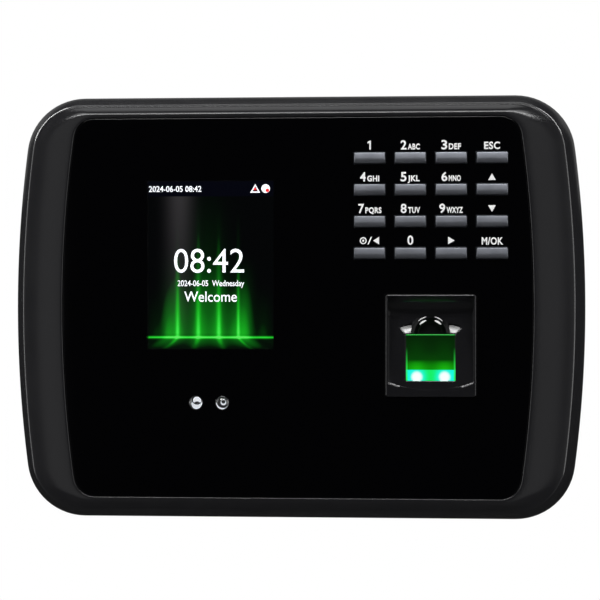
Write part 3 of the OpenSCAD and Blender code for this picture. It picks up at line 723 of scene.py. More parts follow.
def flat_solid(name: str, outlines: Sequence[Sequence[Point]], front: float, back: float, finish: Finish,
               edge: float = 0.0) -> Piece:
    """Makes a plate of constant thickness with holes in it.

    Args:
        name: The piece's name.
        outlines: Outline of the plate and of each hole, as X and Z.
        front: Y of its front face.
        back: Y of its back face.
        finish: The plate's finish.
        edge: Radius of its rounded edges.

    Returns:
        The plate.
    """
    curve = bpy.data.curves.new(name, "CURVE")
    curve.dimensions = "2D"
    curve.fill_mode = "BOTH"
    for points in outlines:
        spline = curve.splines.new("POLY")
        spline.points.add(len(points) - 1)
        for point, (x, z) in zip(spline.points, points):
            point.co = (x * MM, z * MM, 0, 1)
        spline.use_cyclic_u = True
    return solid_from_curve(name, curve, front, back, finish, edge)


def solid_from_curve(name: str, curve: bpy.types.Curve, front: float, back: float, finish: Finish,
                     edge: float = 0.0, bold: float = 0.0) -> Piece:
    """Turns a flat curve or words into a closed solid that stands in the X and Z plane.

    Args:
        name: The piece's name.
        curve: The flat curve or words.
        front: Y of the solid's front face.
        back: Y of its back face.
        finish: The piece's finish.
        edge: Radius of its rounded edges.
        bold: How far its outline is let out.

    Returns:
        The solid.
    """
    curve.extrude = (back - front) / 2 * MM - edge * MM
    curve.bevel_depth = edge * MM
    curve.bevel_resolution = 2 if edge else 0
    curve.offset = (bold - edge) * MM
    drawn = link_new(name + "_curve", curve)
    bpy.context.view_layer.update()
    shape = drawn.evaluated_get(bpy.context.evaluated_depsgraph_get())
    mesh = bpy.data.meshes.new_from_object(shape)
    bpy.data.objects.remove(drawn)
    mesh.transform(Matrix.Translation((0, (front + back) / 2 * MM, 0)) @ Matrix.Rotation(math.pi / 2, 4, "X"))
    mesh.name = name
    give_finish(mesh, finish)
    tidy_mesh(mesh, 50)
    return link_new(name, mesh)


def join(name: str, pieces: Sequence[Piece]) -> Piece:
    """Joins pieces into one, which keeps each one's finish.

    Args:
        name: The joined piece's name.
        pieces: The pieces, which are removed.

    Returns:
        The joined piece.
    """
    work = bmesh.new()
    mesh = bpy.data.meshes.new(name)
    for piece in pieces:
        material = piece.data.materials[0]
        if material.name not in mesh.materials:
            mesh.materials.append(material)
        number = mesh.materials.find(material.name)
        known = len(work.faces)
        work.from_mesh(piece.data)
        work.faces.ensure_lookup_table()
        for face in work.faces[known:]:
            face.material_index = number
        bpy.data.objects.remove(piece)
    work.to_mesh(mesh)
    work.free()
    return link_new(name, mesh)


def skin(rings: int, around: int, closed: bool = False) -> list[tuple[int, ...]]:
    """Numbers the faces between rings of points, each ring joined to the next.

    Args:
        rings: Number of rings.
        around: Points in each ring.
        closed: Whether the last ring joins the first. If not, both ends are capped.

    Returns:
        Point numbers of each face.
    """
    total = rings * around
    faces = [] if closed else [tuple(range(around)), tuple(range(total - around, total))]
    for here in range(0, total if closed else total - around, around):
        there = (here + around) % total
        for j in range(around):
            k = (j + 1) % around
            faces.append((here + j, here + k, there + k, there + j))
    return faces


def block(name: str, low: Place, high: Place, finish: Finish) -> Piece:
    """Makes a square-edged block.

    Args:
        name: The piece's name.
        low: Its lowest corner.
        high: Its highest corner.
        finish: The piece's finish.

    Returns:
        The block.
    """
    x_sides, y_sides, z_sides = zip(low, high)
    corners = [(x, y, z) for x in x_sides for y in y_sides for z in z_sides]
    faces = [(0, 1, 3, 2), (4, 6, 7, 5), (0, 4, 5, 1), (2, 3, 7, 6), (0, 2, 6, 4), (1, 5, 7, 3)]
    return make_piece(name, corners, faces, finish)


def prism(name: str, profile: Sequence[Point], x0: float, x1: float, finish: Finish) -> Piece:
    """Makes a straight bar along X.

    Args:
        name: The piece's name.
        profile: Y and Z of each point of its end.
        x0: X of its left end.
        x1: X of its right end.
        finish: The piece's finish.

    Returns:
        The bar.
    """
    vertices = [(x, y, z) for x in (x0, x1) for y, z in profile]
    return make_piece(name, vertices, skin(2, len(profile)), finish)


def slab_between(name: str, near: Sequence[Place], far: Sequence[Place], wide: int) -> Piece:
    """Makes the solid between two grids of points, to cut the finger guide with.

    Args:
        name: The solid's name.
        near: Points of the near face, row by row.
        far: Points of the far face, in the same order.
        wide: Points in a row.

    Returns:
        The solid.
    """
    total = len(near)
    rows = total // wide
    starts = [r * wide + c for r in range(rows - 1) for c in range(wide - 1)]
    faces = [(a, a + 1, a + wide + 1, a + wide) for layer in (0, total) for a in (layer + i for i in starts)]
    border = list(range(wide))
    border += [r * wide + wide - 1 for r in range(1, rows)]
    border += [total - wide + c for c in range(wide - 2, -1, -1)]
    border += [r * wide for r in range(rows - 2, 0, -1)]
    faces += [(a, b, b + total, a + total) for a, b in zip(border, border[1:] + border[:1])]
    return make_piece(name, [*near, *far], faces, GUIDE_ABS)


def evaluated(piece: Piece) -> Piece:
    """Turns a piece's modifiers into its mesh.

    Args:
        piece: The piece.

    Returns:
        The same piece, with no modifier left.
    """
    bpy.context.view_layer.update()
    mesh = bpy.data.meshes.new_from_object(piece.evaluated_get(bpy.context.evaluated_depsgraph_get()))
    piece.modifiers.clear()
    piece.data = mesh
    return piece


def bevelled(piece: Piece, width: float, segments: int = 2, angle: float = 40, clamp: bool = True) -> Piece:
    """Rounds a piece's sharp edges.

    Args:
        piece: The piece.
        width: Width of the rounding.
        segments: Faces across it.
        angle: Edges that turn less than this stay as they are.
        clamp: Whether roundings stop where they would meet.

    Returns:
        The piece.
    """
    add_modifier(piece, "edge", "BEVEL", width=width * MM, segments=segments, limit_method="ANGLE",
                 angle_limit=math.radians(angle), use_clamp_overlap=clamp)
    evaluated(piece)
    tidy_mesh(piece.data, 32)
    return piece


def cut_out(piece: Piece, tool: Piece) -> None:
    """Cuts a tool's solid out of a piece.

    Args:
        piece: The piece.
        tool: The tool, which is removed.
    """
    add_modifier(piece, tool.name, "BOOLEAN", operation="DIFFERENCE", solver="EXACT", object=tool)
    evaluated(piece)
    bpy.data.objects.remove(tool)


def circle(x: float, z: float, radius: float) -> list[Point]:
    """Points of a circle."""
    return arc(x, z, radius, 0, 345, 23)


# ---------------------------------------------------------------- the case


@dataclass(frozen=True)
class Outline:
    """A case outline: straight top and bottom, bowed sides and round corners."""

    width: float
    height: float
    corner: float
    bow: float = 430.0
    side_steps: int = 14
    corner_steps: int = 14
    top_steps: int = 10

    def quarter(self) -> list[Point]:
        """Draws the upper right quarter.

        Returns:
            Its points, from the right-hand side to the top's middle.
        """
        centre = self.width / 2 - self.bow
        rise = self.height / 2 - self.corner
        corner_x = centre + math.sqrt((self.bow - self.corner) ** 2 - rise**2)
        meet = math.degrees(math.atan2(rise, corner_x - centre))
        side = arc(centre, 0, self.bow, 0, meet, self.side_steps)[:-1]
        turn = arc(corner_x, rise, self.corner, meet, 90, self.corner_steps)
        straight = [(corner_x * (1 - i / self.top_steps), self.height / 2) for i in range(1,
                                                                                          self.top_steps + 1)]
        return side + turn + straight

    def points(self) -> list[Point]:
        """Draws the whole outline.

        Returns:
            Its points, anticlockwise seen from the front.
        """
        q = self.quarter()
        left = [(-x, z) for x, z in reversed(q[:-1])]
        upper = q + left
        lower = [(x, -z) for x, z in reversed(upper[1:-1])]
        return upper + lower

    def toward(self, other: "Outline", share: float) -> "Outline":
        """The outline a share of the way to another one."""
        pairs = (self.width, other.width), (self.height, other.height), (self.corner, other.corner)
        return Outline(*(mine + (theirs - mine) * share for mine, theirs in pairs))

    def inset(self, by: float) -> "Outline":
        """The outline drawn in by a distance, in millimetres."""
        return Outline(self.width - 2 * by, self.height - 2 * by, max(self.corner - by, 0.3))


def ring_solid(name: str, sections: Sequence[tuple[Outline, float]], finish: Finish) -> Piece:
    """Skins a closed ring over outlines, the last joined to the first.

    Args:
        name: The piece's name.
        sections: Outline and Y of each section, in order round the ring's own profile.
        finish: The piece's finish.

    Returns:
        The ring.
    """
    points = [(x, y, z) for outline, y in sections for x, z in outline.points()]
    faces = skin(len(sections), len(points) // len(sections), closed=True)
    return make_piece(name, points, faces, finish, 72)


@dataclass(frozen=True)
class Case:
    """The front shell: swelling flank, crisp ridge, dished bezel and the bed of the panel."""

    corner: float = 21.0
    ridge_in: float = 5.0
    ridge_down: float = 4.2
    ridge_corner: float = 17.0
    ridge_depth: float = 2.5
    wall: float = 2.3
    flank_steps: int = 12
    bezel_steps: int = 9
    lip_proud: float = 0.4
    # Facets of the bead on the ridge: how far each faces away from the front, and its width.
    bead: tuple[Point, ...] = (
        (60, 0.07), (52, 0.07), (46.5, 0.22), (42.5, 0.22), (34, 0.08), (22, 0.08), (10, 0.1),
    )
    panel_corner: float = 7.3
    # Depth of the shelf that the panel is taped to, and how far it reaches in under the panel.
    shelf: float = 1.9
    shelf_in: float = 3.0
    boss_at: Point = (84.0, 50.0)
    boss_r: float = 4.2
    bore_r: float = 1.5

    def sections(self) -> list[tuple[Outline, float]]:
        """Draws the shell's wall.

        Returns:
            Its sections, from the seam over the ridge to the panel and back inside.
        """
        low, high = box_mm("front_shell")
        panel_low, panel_high = box_mm("front_panel")
        seam, front = high.y, panel_low.y
        outer = Outline(high.x - low.x, high.z - low.z, self.corner).inset(0.001)
        ridge = Outline(outer.width - 2 * self.ridge_in, outer.height - 2 * self.ridge_down,
                        self.ridge_corner)
        panel = Outline(panel_high.x - panel_low.x, panel_high.z - panel_low.z, self.panel_corner)
        ridge_y = front + self.ridge_depth
        lip = panel.inset(-0.9)
        sections = []
        for i in range(self.flank_steps + 1):
            t = 1 - i / self.flank_steps
            swell = 1 - math.sin(math.radians(90 * t))
            sections.append((outer.toward(ridge, swell), ridge_y + (seam - ridge_y) * t))
        # A small bead turns the flank into the bezel.
        across, forward = 0.0, 0.0
        for angle, length in self.bead:
            across += length * math.cos(math.radians(angle))
            forward += length * math.sin(math.radians(angle))
            sections.append((ridge.inset(across), ridge_y - forward))
        start, start_y = ridge.inset(across + 0.22), ridge_y - forward - 0.01
        for i in range(self.bezel_steps + 1):
            t = i / self.bezel_steps
            rise = math.sin(math.radians(90 * t))
            sections.append((start.toward(lip, t), start_y + (front - self.lip_proud - start_y) * rise))
        bed = panel.inset(-0.15)
        back = panel_high.y + 0.2
        ledge = panel.inset(self.shelf_in)
        cavity = back + self.shelf
        sections += [
            (panel.inset(-0.5), front - self.lip_proud + 0.02),
            (panel.inset(-0.25), front - self.lip_proud + 0.12),
            (bed, front - self.lip_proud + 0.35),
            (bed, back),
            (ledge, back),
            (ledge, cavity),
        ]
        for i in range(self.flank_steps + 1):
            t = i / self.flank_steps
            swell = 1 - math.sin(math.radians(90 * t))
            sections.append((outer.toward(ridge, swell).inset(self.wall), cavity + (seam - cavity) * t))
        return sections

    def build(self) -> Piece:
        """Builds and dresses the shell.

        Returns:
            The shell with its four screw bosses.
        """
        shell = ring_solid("front_bezel", self.sections(), CASE_ABS)
        seam = box_mm("front_shell")[1].y
        bosses = []
        for x, z in ((sx * self.boss_at[0], sz * self.boss_at[1]) for sx in (-1, 1) for sz in (-1, 1)):
            rings = [circle(x, z, self.boss_r), circle(x, z, self.bore_r)]
            bosses.append(flat_solid(f"boss_{len(bosses)}", rings, seam - 12.8, seam - 0.2, CASE_ABS, 0.15))
        return dress(join("front_bezel", [shell, *bosses]), "case_plastic", "front_shell")


@dataclass(frozen=True)
class Panel:
    """The black acrylic sheet with its cut-outs, the clear window over the display, and the print."""

    corner: float = 7.3
    edge: float = 0.25
    window: Point = (43.6, 58.0)
    window_at: Point = (-29.4, 14.5)
    slack: float = 0.25
    lens_hole_r: float = 2.3

    def holes(self) -> list[list[Point]]:
        """Draws the panel's openings.

        Returns:
            Outlines of the key slots, the guide's opening and the two lens holes.
        """
        holes = []
        for label in KEY_LABELS:
            low, high = key_cap_box(label.node)
            holes.append(rounded((low.x + high.x) / 2, (low.z + high.z) / 2, high.x - low.x + 2 * self.slack,
                                 high.z - low.z + 2 * self.slack, 0.35, 3))
        guide = middle_mm("sensor_frame")
        low, high = guide_box()
        holes.append(rounded(guide.x, (low.y + high.y) / 2, high.x - low.x + 0.3, high.y - low.y + 0.3, 0.6,
                             4))
        for node in ("status_lens_left", "status_lens_right"):
            at = middle_mm(node)
            holes.append(circle(at.x, at.z, self.lens_hole_r))
        return holes

    def build(self) -> list[Piece]:
        """Builds and dresses the sheet and its window.

        Returns:
            The black sheet and the clear pane.
        """
        low, high = box_mm("front_panel")
        outline = Outline(high.x - low.x, high.z - low.z, self.corner).points()
        window = rounded(*self.window_at, self.window[0] - 0.04, self.window[1] - 0.04, 0.02, 1)
        sheet = flat_solid("black_panel", [outline, *self.holes()], low.y, high.y, BLACK_ACRYLIC, self.edge)
        (x, z), (width, height) = self.window_at, self.window
        opening = block("window_tool", (x - width / 2, low.y - 1, z - height / 2),
                        (x + width / 2, high.y + 1, z + height / 2), BLACK_ACRYLIC)
        cut_out(sheet, opening)
        give_finish(sheet.data, BLACK_ACRYLIC)
        tidy_mesh(sheet.data, 50)
        pane = flat_solid("display_window", [window], low.y, high.y, CLEAR_ACRYLIC)
        dress(sheet, "panel_acrylic", "front_panel")
        dress(pane, "panel_acrylic", "front_panel")
        return [sheet, pane]


# ---------------------------------------------------------------- key pad


@dataclass(frozen=True)
class KeyLabel:
    """A key's CAD node, which names its body too, and what is printed above it."""

    node: str
    figure: str
    letters: str = ""


KEY_LABELS = (
    KeyLabel("key_1", "1"),
    KeyLabel("key_2", "2", "ABC"),
    KeyLabel("key_3", "3", "DEF"),
    KeyLabel("key_escape", "", "ESC"),
    KeyLabel("key_4", "4", "GHI"),
    KeyLabel("key_5", "5", "JKL"),
    KeyLabel("key_6", "6", "MNO"),
    KeyLabel("key_up", "up"),
    KeyLabel("key_7", "7", "PQRS"),
    KeyLabel("key_8", "8", "TUV"),
    KeyLabel("key_9", "9", "WXYZ"),
    KeyLabel("key_down", "down"),
    KeyLabel("key_left", "left"),
    KeyLabel("key_0", "0"),
    KeyLabel("key_right", "right"),
    KeyLabel("key_ok", "", "M/OK"),
)
KEY_FLANGE = 0.9
KEY_FLANGE_T = 1.0


def key_cap_box(node: str) -> tuple[Vector, Vector]:
    """Box of a key's cap alone, without the flange behind the panel."""
    low, high = box_mm(node)
    return low + Vector((KEY_FLANGE, 0, KEY_FLANGE)), high - Vector((KEY_FLANGE, 0, KEY_FLANGE))


def guide_box() -> tuple[Vector, Vector]:
    """Front outline of the finger guide, without the flange behind the panel."""
    low, high = box_mm("sensor_frame")
    return Vector((low.x + 2, low.z + 2)), Vector((high.x - 2, high.z - 2))


@dataclass(frozen=True)
class Key:
    """A crowned key cap, its flange behind the panel and its two stems."""

    label: KeyLabel
    # How far the face leans upwards at its top, where it turns, and at its bottom.
    lean: Place = (12.0, 7.0, -40.0)
    turn: float = 0.55
    crown_steps: int = 18
    edge: float = 0.3
    stem_r: float = 1.5

    def face(self, front: float, middle: float, half: float) -> list[Point]:
        """Draws the cap's face from the side.

        Args:
            front: Y of its foremost point.
            middle: Z of its middle.
            half: Half its height.

        Returns:
            Y and Z of its points, downwards.
        """
        points, y = [], 0.0
        step = 2 * half / self.crown_steps
        for i in range(self.crown_steps + 1):
            points.append((y, middle + half - i * step))
            share = (i + 0.5) / self.crown_steps
            if share < self.turn:
                angle = self.lean[0] + (self.lean[1] - self.lean[0]) * share / self.turn
            else:
                angle = self.lean[1] + (self.lean[2] - self.lean[1]) * (share - self.turn) / (1 - self.turn)
            y -= step * math.tan(math.radians(angle))
        foremost = min(y for y, z in points)
        return [(front + y - foremost, z) for y, z in points]

    def build(self) -> Piece:
        """Builds the key and hangs it on its own body.

        Returns:
            The key.
        """
        low, high = key_cap_box(self.label.node)
        flange_y = box_mm("front_panel")[1].y + 0.2
        node = self.label.node
        half = (high.z - low.z) / 2
        middle = (low.z + high.z) / 2
        profile = self.face(low.y, middle, half)
        profile += [(flange_y + 0.1, middle - half), (flange_y + 0.1, middle + half)]
        cap = bevelled(prism(node + "_cap", profile, low.x, high.x, SILVER_PAINT), self.edge, 3, 50)
        flange = rounded((low.x + high.x) / 2, middle, high.x - low.x + 2 * KEY_FLANGE,
                         high.z - low.z + 2 * KEY_FLANGE, 0.3, 2)
        plate = flat_solid(node + "_flange", [flange], flange_y, flange_y + KEY_FLANGE_T, SILVER_PAINT)
        stems = []
        for side in (-1, 1):
            x = (low.x + high.x) / 2 + side * (high.x - low.x) / 4
            stems.append(flat_solid(f"{node}_stem{side}", [circle(x, middle, self.stem_r)], flange_y + 0.5,
                                    high.y, SILVER_PAINT, 0.2))
        piece = join(node + "_bar", [cap, plate, *stems])
        return dress(piece, "key_silver", node, body=node)


# Height of a capital in Blender's own lettering, as a share of its size.
CAP_SHARE = 0.729


class Align(Enum):
    """Where words lie from the point they are given."""

    LEFT = "LEFT"
    MIDDLE = "CENTER"
    RIGHT = "RIGHT"


def extent(piece: Piece) -> tuple[Vector, Vector]:
    """Lowest and highest corner of a piece's mesh."""
    corners = [Vector(axis) for axis in zip(*(v.co for v in piece.data.vertices))]
    return Vector(min(c) for c in corners), Vector(max(c) for c in corners)


@dataclass(frozen=True)
class Words:
    """A line of raised or lit lettering.

    The size is its height above the line and width its length, in millimetres, and bold fattens
    its strokes before it is fitted to them.
    """

    text: str
    x: float
    z: float
    size: float
    front: float
    back: float
    finish: Finish
    width: float = 0.0
    bold: float = 0.0
    spacing: float = 1.0
    align: Align = Align.MIDDLE

    def build(self, name: str) -> Piece:
        """Builds the lettering.

        Args:
            name: The piece's name.

        Returns:
            The lettering, as a closed mesh.
        """
        curve = bpy.data.curves.new(name, "FONT")
        curve.body = self.text
        curve.size = self.size / CAP_SHARE * MM
        curve.align_x = self.align.value
        curve.space_character = self.spacing
        curve.resolution_u = 4
        piece = solid_from_curve(name, curve, 0.0, self.back - self.front, self.finish, 0.0, self.bold)
        low, high = extent(piece)
        grow_x = self.width * MM / (high.x - low.x) if self.width else 1.0
        grow_z = self.size * MM / high.z
        move = Matrix.Translation((self.x * MM, self.front * MM, self.z * MM))
        piece.data.transform(move @ Matrix.Diagonal((grow_x, 1, grow_z, 1)))
        return piece


@dataclass(frozen=True)
class Legends:
    """The white print above the keys: a large figure, small letters, or a sign."""

    figure: Point = (2.15, 3.1)
    letter: Point = (1.42, 1.95)
    word: Point = (1.85, 2.45)
    lift: float = 1.15
    between: float = 0.3
    ink: float = 0.03

    def build(self) -> Piece:
        """Builds and dresses the print.

        Returns:
            All of it, as one piece.
        """
        front = box_mm("front_panel")[0].y
        marks = []
        for label in KEY_LABELS:
            low, high = key_cap_box(label.node)
            x, z = (low.x + high.x) / 2, high.z + self.lift
            if label.figure in SIGNS:
                marks += self.sign(label, x, z, front)
            else:
                marks += self.line(label, x, z, front)
        return dress(join("key_legends", marks), "white_plastic")

    def line(self, label: KeyLabel, x: float, z: float, front: float) -> list[Piece]:
        """Builds a figure with its letters.

        Args:
            label: The key's label.
            x: X of the key's middle.
            z: Z of the line that the print stands on.
            front: Y of the panel's face.

        Returns:
            The figure and the letters.
        """
        small = self.letter if label.figure else self.word
        parts = [(text, size) for text, size in ((label.figure, self.figure), (label.letters, small)) if text]
        total = sum(size[0] * len(text) for text, size in parts) + self.between * (len(parts) - 1)
        left = x - total / 2
        made = []
        for number, (text, (wide, high)) in enumerate(parts):
            middle = left + wide * len(text) / 2
            words = Words(text, middle, z, high, front - self.ink, front + 0.01, WHITE_INK,
                          wide * len(text) - 0.15, 0.1, 1.08)
            made.append(words.build(f"legend_{label.node}_{number}"))
            left += wide * len(text) + self.between
        return made

    def sign(self, label: KeyLabel, x: float, z: float, front: float) -> list[Piece]:
        """Builds the sign of a key that has one.

        Args:
            label: The key's label.
            x: X of the key's middle.
            z: Z of the line that the print stands on.
            front: Y of the panel's face.

        Returns:
            The sign's parts.
        """
        made = []
        for number, shape in enumerate(SIGNS[label.figure]):
            outlines = [[(x + px, z + 1.35 + pz) for px, pz in outline] for outline in shape]
            name = f"legend_{label.node}_{number}"
            made.append(flat_solid(name, outlines, front - self.ink, front + 0.01, WHITE_INK))
        return made


# Signs printed above four of the keys, drawn about the middle of the line of print.
SIGNS: dict[str, list[list[list[Point]]]] = {
    "1": [[[(-0.15, -1.4), (0.4, -1.4), (0.4, 1.7), (0, 1.7), (-0.75, 1.2), (-0.75, 0.6), (-0.15, 0.95)]]],
    "up": [[[(-1.3, -1.15), (1.3, -1.15), (0, 1.15)]]],
    "down": [[[(-1.3, 1.15), (0, -1.15), (1.3, 1.15)]]],
    "right": [[[(-1.0, -1.3), (1.2, 0), (-1.0, 1.3)]]],
    "left": [
        [circle(-2.2, 0, 1.2), circle(-2.2, 0, 0.8)],
        [circle(-2.2, 0, 0.38)],
        [[(-0.8, -1.3), (-0.35, -1.3), (0.8, 1.3), (0.35, 1.3)]],
        [[(1.1, 0), (3.2, -1.3), (3.2, 1.3)]],
    ],
}


# ---------------------------------------------------------------- display


@dataclass(frozen=True)
class Display:
    """The liquid-crystal display: its glass, the lit picture, and the words on it."""

    x: float = -29.4
    z: float = 14.5
    width: float = 43.2
    height: float = 57.6
    clock: str = "08:42"
    date: str = "2024-06-05  Wednesday"
    greeting: str = "Welcome"
    status: str = "2024-06-05 08:42"

    def at(self, u: float, v: float) -> Point:
        """Point on the picture, u across and v up, both from 0 to 1."""
        return (self.x + (u - 0.5) * self.width, self.z + (v - 0.5) * self.height)

    def build(self) -> list[Piece]:
        """Builds and dresses the display.

        Returns:
            The glass, the lit film, the words and the signs.
        """
        low, high = box_mm("lcd_glass")
        glass = rounded((low.x + high.x) / 2, (low.z + high.z) / 2, high.x - low.x, high.z - low.z, 0.4, 3)
        body = flat_solid("display_glass", [glass], low.y, high.y, POLARISER, 0.1)
        dress(body, "display", "lcd_glass")
        left, bottom = self.at(0, 0)
        picture = ScreenPicture("display_picture", "#000000", 0.1, ior=1.05, grain_depth_mm=0.0,
                                glow="#0A3010",
                                glow_strength=1.0, left_mm=left, bottom_mm=bottom, width_mm=self.width,
                                height_mm=self.height)
        lit = rounded(self.x, self.z, self.width, self.height, 0.05, 1)
        film = flat_solid("display_film", [lit], low.y - 0.06, low.y + 0.02, picture)
        dress(film, "display")
        return [body, film, self.words(low.y - 0.08), self.signs(low.y - 0.08)]

    def words(self, front: float) -> Piece:
        """Builds and dresses the lit words.

        Args:
            front: Y of their face.

        Returns:
            The words.
        """
        back, white = front + 0.03, LIT_WHITE
        lines = (
            Words(self.clock, *self.at(0.487, 0.455), 8.2, front, back, white, 24.2, -0.02),
            Words(self.date, *self.at(0.5, 0.375), 2.0, front, back, white, 23.0, 0.03),
            Words(self.greeting, *self.at(0.5, 0.282), 3.5, front, back, white, 18.2, 0.02),
            Words(self.status, *self.at(0.215, 0.938), 2.0, front, back, white, 18.2, 0.04),
        )
        built = [line.build(f"display_words_{i}") for i, line in enumerate(lines)]
        return dress(join("display_words", built), "display")

    def signs(self, front: float) -> Piece:
        """Builds and dresses the two small signs of the status bar.

        Args:
            front: Y of their face.

        Returns:
            The signs.
        """
        x, z = self.at(0.855, 0.955)
        triangle = [(x - 1.7, z - 1.4), (x + 1.7, z - 1.4), (x, z + 1.6)]
        inner = [(x - 0.95, z - 0.95), (x + 0.95, z - 0.95), (x, z + 0.8)]
        disc = circle(x + 3.6, z, 1.5)
        dot = circle(x + 4.2, z - 0.6, 0.6)
        made = [
            flat_solid("sign_triangle", [triangle, inner], front, front + 0.03, LIT_WHITE),
            flat_solid("sign_mark", [[(px * 0.55 + x * 0.45, pz * 0.55 + z * 0.45) for px, pz in inner]],
                       front - 0.01, front + 0.02, LIT_RED),
            flat_solid("sign_disc", [disc], front, front + 0.03, LIT_WHITE),
            flat_solid("sign_dot", [dot], front - 0.02, front + 0.01, LIT_RED),
        ]
        return dress(join("display_signs", made), "display")


# ---------------------------------------------------------------- fingerprint scanner


@dataclass(frozen=True)
class Scanner:
    """The finger guide with its sloping bed, the hollow for the fingertip, and the lit glass."""

    rim: float = 0.8
    slope: float = 13.5
    foot_z: float = -28.6
    foot_rise: float = 2.8
    visor_z: float = -3.4
    glass_z: float = -17.1
    glass_h: float = 15.8
    glass_w: float = 16.8
    tip_r: float = 6.2
    steps: int = 28
    edge: float = 0.5
    inner_edge: float = 0.16
    # Bevel beside the fingertip's hollow: Z, and how far from the middle line it starts and ends.
    flare: tuple[Place, ...] = (
        (-9.45, 6.3, 8.4), (-8.8, 6.3, 8.8), (-8.1, 6.3, 9.5), (-7.4, 6.3, 10.2), (-6.8, 6.3, 10.6),
        (-6.2, 6.3, 9.6), (-5.6, 6.3, 7.4),
    )
    # Ribs: radius, width, start and end angle on the right-hand side, and their depth.
    rib_table: tuple[tuple[Arc, float], ...] = (((6.1, 0.3, 47, 77), 5.8), ((4.9, 0.68, 42, 73), 6.3))
    rib_slope: float = 0.43
    rib_t: float = 1.3
    # Hollow of the fingertip: how far behind the front, and how much wider than its radius.
    hollow: tuple[Point, ...] = ((-2.0, 0.5), (6.5, 0.45), (6.7, -0.7), (8.0, -0.8), (9.4, -2.0))
    post_at: Point = (13.4, 13.6)
    post_r: float = 1.8
    post_bore: float = 0.85
    back: float = 10.5

    def middle(self) -> float:
        """X of the guide's middle line."""
        return middle_mm("sensor_frame").x

    def foot(self, u: float) -> float:
        """Height of the line where the bed starts, u to the side of the middle line."""
        return self.foot_z + self.foot_rise * (u / (self.half() + 0.5)) ** 2

    def depth(self, u: float, z: float) -> float:
        """Works out how deep the bed lies.

        Args:
            u: Distance to the side of the middle line.
            z: Height in the frame.

        Returns:
            Depth below the guide's front.
        """
        foot = self.foot(u)
        slope = math.tan(math.radians(self.slope))
        if z <= self.visor_z:
            step = 0.12 + 0.14 * (u / self.half()) ** 2
            return (z - foot) * slope + step * min(max((z - foot) / 0.5, 0.0), 1.0) - 0.01
        share = (z - self.visor_z) / (self.top() + 0.2 - self.visor_z)
        return (self.visor_z - foot) * slope * math.sqrt(max(1 - share * share, 0.0))

    def half(self) -> float:
        """Half the width inside the rim."""
        low, high = guide_box()
        return (high.x - low.x) / 2 - self.rim

    def top(self) -> float:
        """Height of the rim's lower edge at the top."""
        return guide_box()[1].y - self.rim

    def bed_tool(self, front: float) -> Piece:
        """Makes the solid that the bed is cut with.

        Args:
            front: Y of the guide's front.

        Returns:
            The solid.
        """
        us = [self.half() * (2 * i / self.steps - 1) for i in range(self.steps + 1)]
        count = 2 * self.steps
        shares = [0.0, 0.5 / 30, *[0.03 + 0.97 * i / count for i in range(count + 1)]]
        middle = self.middle()
        places = [(u, self.foot(u) + (self.top() - self.foot(u)) * share) for share in shares for u in us]
        near = [(middle + u, front - 2, z) for u, z in places]
        far = [(middle + u, front + self.depth(u, z), z) for u, z in places]
        return slab_between("bed_tool", near, far, len(us))

    def tip_tool(self, front: float) -> Piece:
        """Makes the flared solid that the fingertip's hollow is cut with.

        Args:
            front: Y of the guide's front.

        Returns:
            The solid.
        """
        z = self.glass_z + self.glass_h / 2
        points = [(self.middle() + px, front + y, z + pz) for y, wider in self.hollow
                  for px, pz in arc(0, 0, self.tip_r + wider, 0, 354, 59)]
        faces = skin(len(self.hollow), len(points) // len(self.hollow))
        return make_piece("tip_tool", points, faces, GUIDE_ABS)

    def flare_tools(self, front: float) -> list[Piece]:
        """Makes the solids that cut a hollow bevel on each side of the fingertip's hollow.

        Args:
            front: Y of the guide's front.

        Returns:
            The left-hand and the right-hand solid.
        """
        tools = []
        base = self.glass_z + self.glass_h / 2 - 0.3
        floor = front + self.depth(8.0, base) + 0.15
        for side in (-1, 1):
            near, far = [], []
            for z, *reach in self.flare:
                rise = z - base
                y = floor + 0.385 * rise + 0.014 * rise * rise
                xs = [self.middle() + side * u for u in reach]
                near += [(x, front - 2, z) for x in xs]
                far += [(x, y, z) for x in xs]
            tools.append(slab_between(f"flare_tool_{side}", near, far, 2))
        return tools

    def ribs(self, front: float) -> list[Piece]:
        """Makes the short raised ribs over the fingertip's hollow, their faces sloping upwards.

        Args:
            front: Y of the guide's front.

        Returns:
            The ribs, in two pairs.
        """
        base = self.glass_z + self.glass_h / 2
        ribs = []
        for (radius, width, start, stop), depth in self.rib_table:
            for angles in ((start, stop), (180 - stop, 180 - start)):
                outline = arc_band(self.middle(), base, radius, width, *angles)
                middle = base + radius * math.sin(math.radians((start + stop) / 2))
                near = [(x, front + depth + self.rib_slope * (z - middle), z) for x, z in outline]
                far = [(x, y + self.rib_t, z) for x, y, z in near]
                n = len(outline)
                faces = [(k, k + 1, n - 2 - k, n - 1 - k) for k in range(n // 2 - 1)]
                faces += [tuple(k + n for k in face) for face in faces]
                faces += [(k, (k + 1) % n, (k + 1) % n + n, k + n) for k in range(n)]
                ribs.append(make_piece(f"guide_rib_{len(ribs)}", near + far, faces, GUIDE_ABS, 30))
        return ribs

